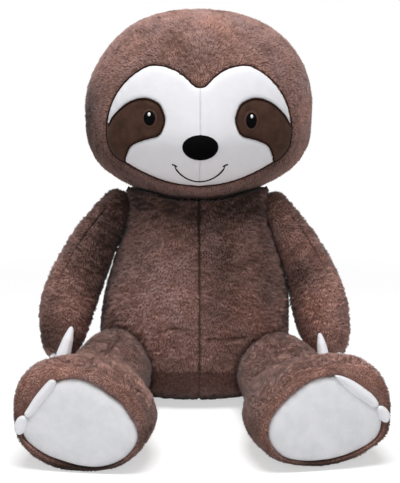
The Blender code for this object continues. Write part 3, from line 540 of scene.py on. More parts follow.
def smooth_rows(rows, steps):
    """A table of shares with more rows, on a smooth curve through the given ones."""
    rows = np.array(rows, float)
    made = []
    for index in range(len(rows) - 1):
        before, start = rows[max(index - 1, 0)], rows[index]
        end, after = rows[index + 1], rows[min(index + 2, len(rows) - 1)]
        for step in range(steps):
            t = step / steps
            made.append(
                0.5 * (2 * start + (end - before) * t + (2 * before - 5 * start + 4 * end - after) * t * t
                       + (3 * start - before - 3 * end + after) * t**3)
            )
    return np.array(made + [rows[-1]])


class Form:
    """A closed stuffed form: points, four-sided faces, and the distance of each point to the nearest seam."""

    def __init__(self, rings):
        rings = np.array(rings)
        rows, columns = rings.shape[:2]
        ends = np.array([rings[0].mean(0), rings[-1].mean(0)])
        self.co = np.vstack([rings.reshape(-1, 3), ends])
        self.chart = np.array(
            [(c / columns, r / rows) for r in range(rows) for c in range(columns)] + [(0.5, 0.0), (0.5, 1.0)]
        )
        low = np.arange(columns)
        high = (low + 1) % columns
        quads = [np.stack([low + r * columns, high + r * columns, high + (r + 1) * columns, low + (r + 1) * columns], 1)
                 for r in range(rows - 1)]
        first, last = rows * columns, rows * columns + 1
        top = (rows - 1) * columns
        quads.append(np.stack([high, low, np.full(columns, first), np.full(columns, first)], 1))
        quads.append(np.stack([low + top, high + top, np.full(columns, last), np.full(columns, last)], 1))
        self.quads = np.vstack(quads)
        a, b, c = (self.co[self.quads[:, k]] for k in range(3))
        if np.einsum("ij,ij->", a, np.cross(b, c)) < 0:
            self.quads = self.quads[:, ::-1]
            pole = self.quads[:, 0] == self.quads[:, 1]
            self.quads[pole] = self.quads[pole][:, [2, 3, 0, 0]]
        self.seam = np.full(len(self.co), 1.0)

    def normals(self):
        a, b, c, d = (self.co[self.quads[:, k]] for k in range(4))
        face = np.cross(c - a, d - b)
        total = np.zeros_like(self.co)
        for k in range(4):
            np.add.at(total, self.quads[:, k], face)
        return unit(total)

    def centres(self):
        return self.co[self.quads].mean(1)

    def tree(self):
        faces = [tuple(dict.fromkeys(quad)) for quad in self.quads.tolist()]
        return BVHTree.FromPolygons(self.co.tolist(), faces)

    def sew(self, distance, depth=SEAM_DEPTH, reach=SEAM_REACH):
        """Draw the cloth in along a seam, as the thread does."""
        self.seam = np.minimum(self.seam, distance)
        self.co -= self.normals() * (depth * np.exp(-((distance / reach) ** 2)))[:, None]

    def draw_in(self, depth):
        """Move the cloth inwards, so that its pile's tips come out to the form."""
        self.co -= self.normals() * np.broadcast_to(depth, len(self.co))[:, None]

    def settle(self):
        """Press flat what would hang below the floor."""
        self.co[:, 2] = self.co[:, 2].clip(0.0004)


def turns(count, gather=0.0):
    """Angles round a ring. Gathered ones lie closer together at its four quarters, where the seams are."""
    even = 2 * math.pi * np.arange(count) / count
    return even - gather * np.sin(4 * even) / 4


def upright_rings(base, size, shares, squareness, count):
    height, width, depth = size
    across, along = np.cos(turns(count, SEAM_GATHER)), np.sin(turns(count, SEAM_GATHER))
    across[np.abs(across) < 1e-9], along[np.abs(along) < 1e-9] = 0.0, 0.0
    power = 2 / squareness
    x = np.sign(across) * np.abs(across) ** power * width / 2
    y = np.sign(along) * np.abs(along) ** power * depth / 2
    rings = []
    for up, wide, front, back in shares:
        rings.append(np.stack([x * wide, y * np.where(along > 0, back, front), np.full(count, base + up * height)], 1))
    return rings


class Spine:
    """A smooth line through a limb."""

    def __init__(self, start, bend, end):
        self.start, self.bend, self.end = start, bend, end

    def place(self, share):
        return (1 - share) ** 2 * self.start + 2 * share * (1 - share) * self.bend + share**2 * self.end

    def run(self, share):
        return unit((1 - share) * (self.bend - self.start) + share * (self.end - self.bend))

    def frame(self, share, up):
        across = unit(np.cross(self.run(share), up))
        return across, np.cross(across, self.run(share))


def root_rings(radius, steps=7):
    angles = [math.pi / 2 * (step + 0.3) / steps for step in range(steps)]
    return [(radius * math.sin(angle), -radius * math.cos(angle)) for angle in angles]


def waves(points, length, seed, count=14):
    """A smooth pattern, mostly between -1 and 1, whose bumps are one length apart. Points have three values or more."""
    rng = np.random.default_rng(seed)
    ways = unit(rng.normal(size=(count, 3))) * (2 * math.pi / length) * rng.uniform(0.7, 1.4, (count, 1))
    if points.shape[1] > 3:
        # The value past the third draws the bumps out into bands across its own way
        ways = np.hstack([0.75 * ways, rng.choice((-1, 1), (count, 1)) * rng.uniform(0.9, 1.7, (count, 1)) * 2 * math.pi / length])
    shifts = rng.uniform(0, 2 * math.pi, count)
    return np.sin(points @ ways.T + shifts).sum(1) / math.sqrt(count / 2) / 1.4


def pressed(form, neighbour, gap, root=None, reach=0.0):
    """Push a form's points out of its neighbour. Those within reach of its root stay."""
    tree = neighbour.tree()
    for index, point in enumerate(form.co):
        if root is not None and np.linalg.norm(point - root) < reach:
            continue
        place, normal, _, far = tree.find_nearest(Vector(point), 0.05)
        if place is not None and (Vector(point) - place).dot(normal) < gap:
            form.co[index] = place + normal * gap


def hollowed(form, neighbour, way, gap):
    """Push a form's points that lie inside its neighbour on along one way, until they are clear behind it."""
    tree = neighbour.tree()
    way = Vector(way).normalized()
    inside = np.zeros(len(form.co), bool)
    for index, point in enumerate(form.co):
        point = Vector(point)
        place, normal, _, far = tree.find_nearest(point, 0.08)
        if place is None or (point - place).dot(normal) >= gap:
            continue
        if (point - place).dot(normal) > -gap:
            form.co[index] = place + normal * gap
            inside[index] = True
            continue
        hit = tree.ray_cast(point, way)[0]
        if hit is not None:
            form.co[index] = hit + way * gap
            inside[index] = True
    return inside


def torso_form():
    flat = [(0.0, 0.60 * g, 0.56 * g, 0.64 * g) for g in (0.05, 0.30, 0.55, 0.80)]
    rows = np.vstack([flat, smooth_rows(TORSO_SHARES, 7)])
    form = Form(upright_rings(0.0, (TORSO_HEIGHT, TORSO_WIDTH, TORSO_DEPTH), rows, TORSO_SQUARENESS, 144))
    outwards = ((np.abs(form.co[:, 0]) - SHOULDER_INNER) / (SHOULDER_OUTER - SHOULDER_INNER)).clip(0, 1)
    high = ((form.co[:, 2] - TORSO_HEIGHT * 0.86) / (TORSO_HEIGHT * 0.13)).clip(0, 1)
    form.co[:, 2] += SHOULDER_RISE * outwards**2 * (3 - 2 * outwards) * high
    x, _, z = form.co.T
    hip = np.exp(-(((z / TORSO_HEIGHT - RIGHT_HIP_UP) / RIGHT_HIP_SPREAD) ** 2))
    form.co[:, 0] -= RIGHT_HIP_SWELL * hip * (-x / (TORSO_WIDTH / 2)).clip(0, 1) ** 2
    return form


def head_form():
    rows = smooth_rows(HEAD_SHARES, 5)
    form = Form(upright_rings(CHIN, (HEAD_HEIGHT, HEAD_WIDTH, HEAD_DEPTH), rows, HEAD_SQUARENESS, 160))
    muzzle = CHIN + HEAD_HEIGHT * MUZZLE_UP_SHARE
    x, y, z = form.co.T
    up, left, right = smooth_rows(HEAD_SIDES, 6).T
    full = np.where(x > 0, np.interp((z - CHIN) / HEAD_HEIGHT, up, left), -np.interp((z - CHIN) / HEAD_HEIGHT, up, right))
    form.co[:, 0] += full * (np.abs(x) / (HEAD_WIDTH * 0.35)).clip(0, 1)
    away = np.hypot(x, z - muzzle) / MUZZLE_SPREAD
    form.co[:, 1] -= np.where(y < 0, MUZZLE_SWELL * np.exp(-(away**2)), 0)
    return form


def arm_spine(name, sign):
    shoulder = SHOULDER[name]
    chord = np.array((sign * ARM_OUT[name], -ARM_FORWARD, PAW_LIFT - shoulder[2]))
    bow = unit(np.array((-chord[2], 0, chord[0]))) * sign * ARM_BOW[name]
    bow[2] = abs(bow[2])
    return Spine(shoulder, shoulder + chord * ARM_BEND_SHARE + bow, shoulder + chord)


def arm_form(name, sign):
    spine, front = arm_spine(name, sign), np.array((0.0, -1.0, 0.0))
    angle = turns(72, SEAM_GATHER)
    turned = angle + sign * ARM_SEAM_TURN
    rows = smooth_rows(ARM_SHARES[name], 6)
    stations = [(0.0, *(rows[0, 1:] * girth), shift * SHOULDER_CAP[name]) for girth, shift in root_rings(1.0)]
    stations += [(*row, 0.0) for row in rows]
    rings, offsets = [], []
    for share, outer, inner, deep, shift in stations:
        across, rise = spine.frame(share, front)
        outwards = -sign * np.cos(turned)
        wide = np.where(outwards > 0, outer, inner) * PAW_RADIUS
        middle = spine.place(share) + spine.run(share) * shift * PAW_RADIUS
        rings.append(
            middle + np.outer(np.cos(turned) * wide, across) + np.outer(np.sin(turned) * deep * PAW_RADIUS, rise)
        )
        # The seam sinks under the pile towards the paw
        offsets.append(np.abs(np.cos(angle)) * wide + 0.0026 * min(max((share - 0.30) / 0.35, 0), 1))
    form = Form(rings)
    form.side = np.append(np.tile(np.cos(angle), len(stations)), (1.0, 1.0))
    form.offset = np.append(np.concatenate(offsets), (0.0, 0.0))
    return form


def leg_spine(name, sign):
    ahead = np.array((sign * math.sin(LEG_SPLAY), -math.cos(LEG_SPLAY), 0.0)) * LEG_LENGTH
    lift = np.array((0.0, 0.0, FOOT_CENTRE_HEIGHT - HIP[name][2]))
    return Spine(HIP[name], HIP[name] + ahead / 2, HIP[name] + ahead + lift)


def around(rows, angle):
    """A table of (degrees, size) on a smooth curve round an outline."""
    degrees, sizes = np.array(rows, float).T
    degrees = np.concatenate([degrees - 360, degrees, degrees + 360])
    fine = np.linspace(-30, 390, 421)
    sizes = np.interp(fine, degrees, np.tile(sizes, 3))
    sizes = np.convolve(sizes, np.hanning(19) / np.hanning(19).sum(), "same")
    return np.interp(np.degrees(angle) % 360, fine, sizes)


def foot_ring(spine, share, sign, angle, wide, high, amount, shift=0.0, bulge=0.0, aside=(0.0, 0.0)):
    """A ring of the leg, whose outer end the amount tilts up as far as the foot's."""
    across, rise = spine.frame(share, UP)
    across = across * math.copysign(1, across[0] * sign)
    tilt = FOOT_ROLL * amount
    out = np.cos(angle) * wide + FOOT_BULGE_OUT * bulge + aside[0]
    up = np.sin(angle) * high + FOOT_BULGE_UP * bulge + aside[1]
    middle = spine.place(share) + spine.run(share) * shift
    return (middle + np.outer(out * math.cos(tilt) - up * math.sin(tilt), across)
            + np.outer(out * math.sin(tilt) + up * math.cos(tilt), rise))


def leg_form(name, sign):
    spine, angle = leg_spine(name, sign), turns(120, SEAM_GATHER)
    thigh_wide, thigh_out, thigh_high, thigh_up = THIGH_SHAPE[name]
    foot, sole = around(FOOT_EDGE[name], angle), around(SOLE_EDGE[name], angle)
    rings = [
        foot_ring(spine, 0, sign, angle, girth * thigh_wide, girth * thigh_high, 0, shift, 0, (thigh_out, thigh_up))
        for girth, shift in root_rings(THIGH_RADIUS)
    ]
    inner = np.cos(angle - math.radians(205)).clip(0, 1) ** 2 * INNER_FULLNESS[name]
    for share, growth, girth, height, full in smooth_rows(LEG_SHARES, 6):
        wide = (THIGH_RADIUS * thigh_wide + (FOOT_WIDTH / 2 * foot - THIGH_RADIUS * thigh_wide) * growth) * girth + inner * full
        high = (THIGH_RADIUS * thigh_high + (FOOT_HEIGHT / 2 * foot - THIGH_RADIUS * thigh_high) * growth) * girth * height
        aside = (thigh_out * (1 - growth), thigh_up * (1 - growth))
        rings.append(foot_ring(spine, share, sign, angle, wide, high, min(growth, 1), 0, growth, aside))
    end = growth
    for way, girth, rise in smooth_rows(RIM_SHARES, 3)[1:]:
        sizes = [last + (seam / 2 * 0.985 * sole - last) * way for last, seam in ((wide, SOLE_WIDTH), (high, SOLE_HEIGHT))]
        rings.append(
            foot_ring(spine, 1, sign, angle, sizes[0] * girth, sizes[1] * girth, 1, SOLE_DOME * rise, end * (1 - way))
        )
    form = Form(rings)
    across = spine.frame(0.5, UP)[0]
    form.offset = np.abs((form.co - spine.start) @ across)
    return form


def claw_form(name, sign, rows):
    """A stuffed claw lying on the foot, flat underneath and rounded above and at its ends."""
    spine, angle = leg_spine(name, sign), turns(24)
    run = spine.run(1)
    across, rise = spine.frame(1, UP)
    across = across * math.copysign(1, across[0] * sign)
    rows = smooth_rows(rows, 8) / 1000
    middles = spine.end + rows[:, :1] * across + rows[:, 1:2] * rise + run * CLAW_RISE
    ahead = unit(np.gradient(middles, axis=0))
    from_end = np.minimum(np.arange(len(rows)), np.arange(len(rows))[::-1]) / 5.0
    swell = np.sqrt(1 - (1 - (from_end + 0.12).clip(0, 1)) ** 2)
    rings = []
    for middle, way, width, full in zip(middles, ahead, rows[:, 2], swell):
        side = np.cross(way, run)
        rings.append(middle + full * (np.outer(np.cos(angle) * width / 2, side) + np.outer(np.sin(angle) * CLAW_THICKNESS / 2, run)))
    return Form(rings)


# Pieces


def new_object(name, co, faces, material, chart=None, values=None):
    """A mesh piece from points and faces, with its bake map and its point values."""
    mesh = bpy.data.meshes.new(name)
    mesh.vertices.add(len(co))
    mesh.vertices.foreach_set("co", np.asarray(co, np.float32).ravel())
    sizes = np.array([len(face) for face in faces])
    starts = np.concatenate([[0], np.cumsum(sizes)[:-1]])
    corners = np.concatenate([np.asarray(face) for face in faces]) if len(set(sizes)) > 1 else np.asarray(faces).ravel()
    mesh.loops.add(len(corners))
    mesh.loops.foreach_set("vertex_index", corners.astype(np.int32))
    mesh.polygons.add(len(sizes))
    mesh.polygons.foreach_set("loop_start", starts.astype(np.int32))
    mesh.update(calc_edges=True)
    if chart is not None:
        mesh.uv_layers.new(name="OFBake").data.foreach_set("uv", np.asarray(chart, np.float32).ravel())
    for key, value in (values or {}).items():
        mesh.attributes.new(key, "FLOAT", "POINT").data.foreach_set("value", np.asarray(value, np.float32))
    mesh.polygons.foreach_set("use_smooth", np.ones(len(sizes), bool))
    mesh.materials.append(material)
    made = bpy.data.objects.new(name, mesh)
    bpy.context.scene.collection.objects.link(made)
    return made


def select_only(*objects):
    bpy.ops.object.select_all(action="DESELECT")
    for item in objects:
        item.select_set(True)
    bpy.context.view_layer.objects.active = objects[0]


def apply_all(piece):
    select_only(piece)
    for modifier in list(piece.modifiers):
        bpy.ops.object.modifier_apply(modifier=modifier.name)


def thicken(piece, thickness):
    modifier = piece.modifiers.new("cloth", "SOLIDIFY")
    modifier.thickness = thickness
    modifier.offset = -1.0
    apply_all(piece)


def panel_cloth(name, form, chosen, material):
    """The cloth of one panel: part of a form's faces, with a cover's thickness inwards."""
    quads = form.quads[chosen]
    used = np.unique(quads)
    renumber = np.full(len(form.co), -1)
    renumber[used] = np.arange(len(used))
    faces = [tuple(dict.fromkeys(quad)) for quad in renumber[quads].tolist()]
    corners = np.concatenate([np.array(face) for face in faces])
    chart = form.chart[used][corners] * (1.0, 0.45)
    # The ground's tone: painted light and shade
    tone = painted_shade_and_lay_tone(form.co[used], form.seam[used]).clip(0, 1)
    made = new_object(name, form.co[used], faces, material, chart, {"tone": tone})
    thicken(made, COVER)
    return made


def sample(form, chosen, per_area, rng):
    """Even random places on some of a form's faces, with their normals and distances to a seam."""
    quads = form.quads[chosen]
    corners = np.vstack([quads[:, [0, 1, 2]], quads[:, [0, 2, 3]]])
    a, b, c = (form.co[corners[:, k]] for k in range(3))
    areas = np.linalg.norm(np.cross(b - a, c - a), axis=1) / 2
    total = np.cumsum(areas)
    count = int(total[-1] * per_area)
    picked = np.searchsorted(total, (np.arange(count) + rng.random(count)) / count * total[-1]).clip(0, len(areas) - 1)
    first, second = rng.random(count), rng.random(count)
    over = first + second > 1
    first[over], second[over] = 1 - first[over], 1 - second[over]
    shares = np.stack([1 - first - second, first, second], 1)
    normals = form.normals()
    mixed = lambda values: np.einsum("ij,ij...->i...", shares, values[corners[picked]])
    return mixed(form.co), unit(mixed(normals)), mixed(form.seam)


def clear_lengths(roots, tips, trees):
    """How much of each tuft is free of the neighbouring forms, and how closed in it is by them, both from 0 to 1."""
    free, closed_in = np.ones(len(roots)), np.zeros(len(roots))
    for tree, low, high in trees:
        near = np.nonzero(((roots > low - 0.012) & (roots < high + 0.012)).all(1))[0]
        for index in near:
            root = Vector(roots[index])
            place, normal, _, far = tree.find_nearest(root, 0.014)
            if place is None:
                continue
            rise = (root - place).dot(normal)
            closed_in[index] = max(closed_in[index], 1 - max(rise, 0) / 0.014)
            if rise < CLEAR:
                free[index] = 0
                continue
            travel = (Vector(tips[index]) - root).dot(normal)
            if rise + travel < CLEAR:
                free[index] = min(free[index], (rise - CLEAR) / -travel)
    return free, closed_in


def spot_sum(places, marks=PAINTED_SHADE_LIGHT_AND_LAY):
    """How much a table of soft round spots changes the pile at some places. The default table paints light and shade.
    """
    return sum(amount * np.exp(-(np.linalg.norm(places - np.array(spot), axis=1) / reach) ** 2)
               for *spot, reach, amount in marks)


def painted_shade_and_lay_tone(places, seam):
    """How light the cloth is, 0 dark and 1 pale: the painted light and shade spots, with painted shade along its seams
    and low down at the floor.
    """
    # Painted shade: darker low down next to the floor, and in the seams below
    low = 0.75 * np.exp(-((places[:, 2] / 0.016) ** 2))
    return 0.60 + spot_sum(places) - 0.40 * np.exp(-((seam / 0.0022) ** 2)) - low


def pile(name, form, chosen, comb, flow, seed, material, trees=(), length=PILE_LENGTH, trim=None, mottle=1.0):
    """The tufts of a panel, as closed three-sided spikes that lean the way the cloth is combed.

    The comb gives that way at some places, and the flow how far along it they are: the pile's ripples run across it.
    """
    per_area = TUFTS_PER_AREA
    rng = np.random.default_rng(seed)
    roots, normals, seam = sample(form, chosen, per_area, rng)
    keep = roots[:, 2] > 0.0012
    if trim is not None:
        share = trim(roots)
        keep &= share > 0.05
    roots, normals, seam = roots[keep], normals[keep], seam[keep]
    along = comb(roots)
    along = unit(along - normals * (along * normals).sum(1, keepdims=True))
    swirl = 0.55 * waves(roots, 0.034, 11) + 0.35 * waves(roots, 0.013, 12)
    aside = np.cross(normals, along)
    swirl = swirl + rng.normal(0, 0.28, len(roots))
    along = along * np.cos(swirl)[:, None] + aside * np.sin(swirl)[:, None]
    rippled = np.column_stack([roots, flow(roots)])
    ripple = waves(rippled, RIPPLE, 16)
    lean = PILE_LEAN + 0.20 * waves(roots, 0.024, 13) + 0.30 * mottle * ripple + rng.normal(0, 0.12, len(roots))
    # Short partings across the comb, where the pile is shorter and shows its foot; their darker tone below is painted
    # shade
    parted = ((waves(rippled, RIPPLE, 21) - 0.35) / 0.5).clip(0, 1) * (0.65 + 0.6 * waves(roots, 0.030, 22)).clip(0, 1)
    reach = length * (1 + 0.10 * waves(roots, 0.018, 14) + rng.normal(0, 0.08, len(roots)) - 0.40 * mottle * parted)
    reach *= 0.15 + 0.85 * (1 - np.exp(-((seam / 0.0030) ** 2)))
    if trim is not None:
        reach *= share[keep]
    tips = roots + (normals * np.cos(lean)[:, None] + along * np.sin(lean)[:, None]) * reach[:, None]
    # Tips gather in clumps
    heads = np.arange(0, len(roots), max(int(per_area * CLUMP**2), 1))
    rng.shuffle(heads)
    finder = KDTree(len(heads))
    for index in heads:
        finder.insert(roots[index], index)
    finder.balance()
    nearest = np.array([finder.find(root)[1] for root in roots])
    tips += (tips[nearest] - roots[nearest] + (roots[nearest] - roots) * 0.75 - (tips - roots)) * 0.26
    free, closed_in = clear_lengths(roots, tips, trees)
    floor_rise = (roots[:, 2] - 0.0004) / (roots[:, 2] - tips[:, 2]).clip(1e-9)
    free = np.where(tips[:, 2] < 0.0004, np.minimum(free, floor_rise), free)
    kept = free > 0.12
    roots, tips, normals, free = roots[kept], tips[kept], normals[kept], free[kept]
    tips = roots + (tips - roots) * free[:, None]
    ripple = ripple[kept]
    rippled, parted, seam = rippled[kept], parted[kept], seam[kept]
    bands = 0.07 * waves(roots, 0.110, 18) + 0.06 * waves(rippled, 0.045, 15) + 0.035 * waves(rippled, 0.022, 19)
    # Painted shade: the tone is darker in the partings and where a neighbouring part closes the pile in, on top of the
    # painted spots, seam and floor shade; the bands are the pile's own tone
    tone = painted_shade_and_lay_tone(roots, seam) + mottle * (bands + 0.06 * ripple + 0.03 - 0.22 * parted) - 0.40 * closed_in[kept]
    tone = (tone + rng.normal(0, 0.015, len(roots))).clip(0, 1)
    faded = (0.32 + 0.18 * waves(roots, 0.060, 23) + 0.05 * waves(rippled, 0.020, 24) + spot_sum(roots, FADED)).clip(0, 1)
    axis = unit(tips - roots)
    side = unit(np.cross(axis, normals + rng.normal(0, 0.05, normals.shape)))
    other = np.cross(axis, side)
    width = PILE_WIDTH / 2 * rng.uniform(0.75, 1.25, len(roots))
    twist = rng.uniform(0, 2 * math.pi, len(roots))
    co = np.empty((len(roots), 4, 3))
    for k in range(3):
        turn = twist + 2 * math.pi * k / 3
        co[:, k] = roots + (side * np.cos(turn)[:, None] + other * np.sin(turn)[:, None]) * width[:, None] - normals * 0.0006
    co[:, 3] = tips
    base = np.arange(len(roots))[:, None] * 4
    shape = np.array([(0, 1, 3), (1, 2, 3), (2, 0, 3), (0, 2, 1)])
    faces = (base[:, :, None] + shape[None]).reshape(-1, 3)
    columns = math.ceil(math.sqrt(len(roots) / 0.54))
    rows = math.ceil(len(roots) / columns)
    cell = np.stack([np.arange(len(roots)) % columns, np.arange(len(roots)) // columns], 1)
    spots = np.array([[(0.06, 0.14), (0.35, 0.14), (0.5, 0.95)], [(0.35, 0.14), (0.65, 0.14), (0.5, 0.95)],
                      [(0.65, 0.14), (0.94, 0.14), (0.5, 0.95)], [(0.06, 0.02), (0.94, 0.02), (0.5, 0.10)]])
    chart = (cell[:, None, None, :] + spots[None]) / (columns, rows) * (1.0, 0.54) + (0.0, 0.46)
    values = {"reach": np.tile((0.0, 0.0, 0.0, 1.0), len(roots)), "tone": np.repeat(tone, 4), "faded": np.repeat(faded, 4)}
    made = new_object(name, co.reshape(-1, 3), faces, material, chart.reshape(-1, 2), values)
    # Light falls on soft pile much as on the cloth under it, so each tuft takes the cloth's own slope
    lay = along[kept] * (0.50 * mottle * ripple)[:, None] + aside[kept] * (0.16 * waves(roots, 0.012, 17))[:, None]
    slope = unit(normals + lay + rng.normal(0, 0.03, normals.shape))
    made.data.normals_split_custom_set_from_vertices(np.repeat(slope, 4, 0))
    return made


def join(*pieces):
    select_only(*pieces)
    bpy.ops.object.join()
    return pieces[0]


def finish_piece(piece, body, nodes):
    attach(piece, body)
    if nodes:
        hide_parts(*nodes)
    return piece


def plush_panel(node, form, chosen, comb, flow, seed, body, trees, length=PILE_LENGTH, trim=None, mottle=1.0, seat=False):
    """One furry panel: its cloth and pile in one piece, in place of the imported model's panel."""
    cloth = panel_cloth(f"{node}_plush", form, chosen, SEAT_GROUND if seat else BROWN_GROUND)
    tufts = pile(f"{node}_pile", form, chosen, comb, flow, seed, SEAT_PILE if seat else BROWN_PILE, trees, length, trim, mottle)
    piece = join(cloth, tufts)
    return finish_piece(piece, body, [node])


def boxed(form):
    return form.tree(), form.co.min(0), form.co.max(0)


# Flat outlines


def rounded(points, steps, closed=True):
    """Points of a smooth line through given ones."""
    points = [np.array(point, float) for point in points]
    count, made = len(points), []
    for index in range(count if closed else count - 1):
        picks = [index + k for k in (-1, 0, 1, 2)]
        picks = [k % count if closed else min(max(k, 0), count - 1) for k in picks]
        before, start, end, after = (points[k] for k in picks)
        for step in range(steps):
            t = step / steps
            made.append(
                0.5 * (2 * start + (end - before) * t + (2 * before - 5 * start + 4 * end - after) * t * t
                       + (3 * start - before - 3 * end + after) * t**3)
            )
    if not closed:
        made.append(points[-1])
    return np.array(made)


def inside(points, outline):
    """Which points lie inside a closed outline."""
    x, y = points[:, 0], points[:, 1]
    within = np.zeros(len(points), bool)
    for (ax, ay), (bx, by) in zip(outline, np.roll(outline, -1, 0)):
        if ay == by:
            continue
        crosses = (ay > y) != (by > y)
        within ^= crosses & (x < (bx - ax) * (y - ay) / (by - ay) + ax)
    return within


def from_outline(points, outline):
    """The distance of each point to an outline."""
    best = np.full(len(points), 1.0)
    for a, b in zip(outline, np.roll(outline, -1, 0)):
        run = b - a
        share = ((points - a) @ run / max(run @ run, 1e-12)).clip(0, 1)
        best = np.minimum(best, np.linalg.norm(points - a - share[:, None] * run, axis=1))
    return best


def face_places(shares, sign=1):
    return np.array([(sign * across * FACE_WIDTH / 2, FACE_BASE + up * FACE_HEIGHT) for across, up in shares])


def evened(outline, step):
    """A closed outline with more points on its long runs."""
    made = []
    for a, b in zip(outline, np.roll(outline, -1, 0)):
        count = max(int(np.linalg.norm(b - a) / step), 1)
        made += [a + (b - a) * k / count for k in range(count)]
    return np.array(made)


HALF_FACE = rounded(face_places(FACE_OUTLINE_SHARES), 5, closed=False)
FACE_OUTLINE = np.vstack([HALF_FACE, (HALF_FACE * (-1, 1))[-2:0:-1]])
HALF_FACES = {name: evened(HALF_FACE * (sign, 1), SHEET_STEP) for name, sign in SIDES_OF_TOY.items()}
PATCHES = {
    name: evened(rounded(face_places(PATCH_OUTLINE_SHARES, sign), 5), SHEET_STEP) for name, sign in SIDES_OF_TOY.items()
}


def front_of(form, points, lift):
    """Places on the front of a form, seen from the front, lifted off it. Also the form's normals there."""
    tree = form.tree()
    lift = np.broadcast_to(lift, len(points))
    places, normals = [], []
    for (x, z), rise in zip(points, lift):
        place, normal, _, _ = tree.ray_cast(Vector((x, -1, z)), Vector((0, 1, 0)))
        if place is None:
            place, normal, _, _ = tree.find_nearest(Vector((x, -HEAD_DEPTH / 2, z)))
        places.append(place + normal * float(rise))
        normals.append(normal)
    return np.array(places), np.array(normals)


def nearest_line(points, ends):
    """The distance of each point to the nearest of some straight pieces."""
    best = np.full(len(points), 1.0)
    for a, b in ends:
        run = b - a
        share = ((points - a) @ run / max(run @ run, 1e-12)).clip(0, 1)
        best = np.minimum(best, np.linalg.norm(points - a - share[:, None] * run, axis=1))
    return best


def sheet_on(name, form, outlines, chosen, lift, edge_drop, edge_reach, material, thickness):
    """Cloth cut along outlines and laid on the front of a form. Its edge is drawn in to the seam."""
    low, high = np.vstack(outlines).min(0), np.vstack(outlines).max(0)
    across, up = (np.arange(low[k], high[k], SHEET_STEP) for k in (0, 1))
    grid = np.stack(np.meshgrid(across, up), -1).reshape(-1, 2)
    grid = grid[chosen(grid)]
    for outline in outlines:
        grid = grid[from_outline(grid, outline) > SHEET_STEP * 0.55]
    flat, edges = [], []
    for outline in outlines:
        edges += [(len(flat) + k, len(flat) + (k + 1) % len(outline)) for k in range(len(outline))]
        flat += [Vector(point) for point in outline]
    verts, _, faces, *_ = delaunay_2d_cdt(flat + [Vector(point) for point in grid], edges, [], 0, 1e-7)
    verts, faces = np.array([tuple(vert) for vert in verts]), np.array(faces)
    faces = faces[chosen(verts[faces].mean(1))]
    used = np.unique(faces)
    renumber = np.full(len(verts), -1)
    renumber[used] = np.arange(len(used))
    verts, faces = verts[used], renumber[faces]
    pairs = np.sort(np.vstack([faces[:, [0, 1]], faces[:, [1, 2]], faces[:, [2, 0]]]), 1)
    pairs, counts = np.unique(pairs, axis=0, return_counts=True)
    border = verts[pairs[counts == 1]]
    middle = (np.abs(border[:, :, 0]) < 1e-5).all(1)
    drop = edge_drop * np.exp(-((nearest_line(verts, border[~middle]) / edge_reach) ** 2))
    # The seam down the middle of the face is fine and nearly flat
    fine = 0.0004 * np.exp(-((nearest_line(verts, border[middle]) / 0.0016) ** 2))
    co, _ = front_of(form, verts, lift - np.maximum(drop, fine))
    a, b, c = (co[faces[:, k]] for k in range(3))
    turned = np.cross(b - a, c - a)[:, 1] > 0
    faces[turned] = faces[turned][:, ::-1]
    span = (verts - low) / (high - low).max()
    made = new_object(name, co, faces, material, span[faces.ravel()])
    thicken(made, thickness)
    return made


def stitched_line(name, places, normals, width, height, material):
    """A raised line of stitching along some places on a surface."""
    count = len(places)
    run = unit(np.vstack([places[1:], places[-1:]]) - np.vstack([places[:1], places[:-1]]))
    across = unit(np.cross(run, normals))
    rise = np.cross(across, run)
    angle = turns(8)
    ends = np.minimum(np.arange(count), np.arange(count)[::-1])
    grow = np.minimum(1.0, 0.35 + ends * 0.35)[:, None, None]
    rings = places[:, None] + grow * (
        across[:, None] * (np.cos(angle) * width / 2)[None, :, None]
        + rise[:, None] * (np.sin(angle) * height / 2)[None, :, None]
    )
    form = Form(rings)
    faces = [tuple(dict.fromkeys(quad)) for quad in form.quads.tolist()]
    return new_object(name, form.co, faces, material)


def softened(name, node, voxel, rounds, material, swell):
    """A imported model's soft lump with its facets smoothed away."""
    bm = bmesh.new()
    bm.from_mesh(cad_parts[node].data)
    bmesh.ops.remove_doubles(bm, verts=bm.verts, dist=1e-5)
    mesh = bpy.data.meshes.new(name)
    bm.to_mesh(mesh)
    bm.free()
    made = bpy.data.objects.new(name, mesh)
    bpy.context.scene.collection.objects.link(made)
    remesh = made.modifiers.new("even faces", "REMESH")
    remesh.mode = "VOXEL"
    remesh.voxel_size = voxel
    smoothing = made.modifiers.new("smooth", "SMOOTH")
    smoothing.factor = 0.5
    smoothing.iterations = rounds
    grown = made.modifiers.new("swell", "DISPLACE")
    grown.strength = swell
    grown.mid_level = 0.0
    apply_all(made)
    made.data.materials.clear()
    made.data.materials.append(material)
    made.data.shade_smooth()
    return made


# Torso, arms and legs at rest, each clear of its neighbours

torso = torso_form()
head = head_form()
arms = {name: arm_form(name, sign) for name, sign in SIDES_OF_TOY.items()}
legs = {name: leg_form(name, sign) for name, sign in SIDES_OF_TOY.items()}
torso.draw_in(PILE_RISE)
flat_face = head.co[:, [0, 2]]
in_front = head.co[:, 1] < 0
from_face = np.where(in_front, from_outline(flat_face, FACE_OUTLINE), 1.0)
on_face = in_front & inside(flat_face, FACE_OUTLINE)
head.draw_in(np.where(on_face, 0.0, PILE_RISE * (from_face / 0.012).clip(0, 1)))
for name, sign in SIDES_OF_TOY.items():
    pressed(arms[name], torso, SOCKET, SHOULDER[name], SHOULDER_RADIUS + SOCKET)
    arms[name].draw_in(PILE_RISE)
    along = (legs[name].co - HIP[name]) @ leg_spine(name, sign).run(0.5) / LEG_LENGTH
    legs[name].draw_in(PILE_RISE * ((1 - along) / 0.06).clip(0, 1))
    legs[name].settle()

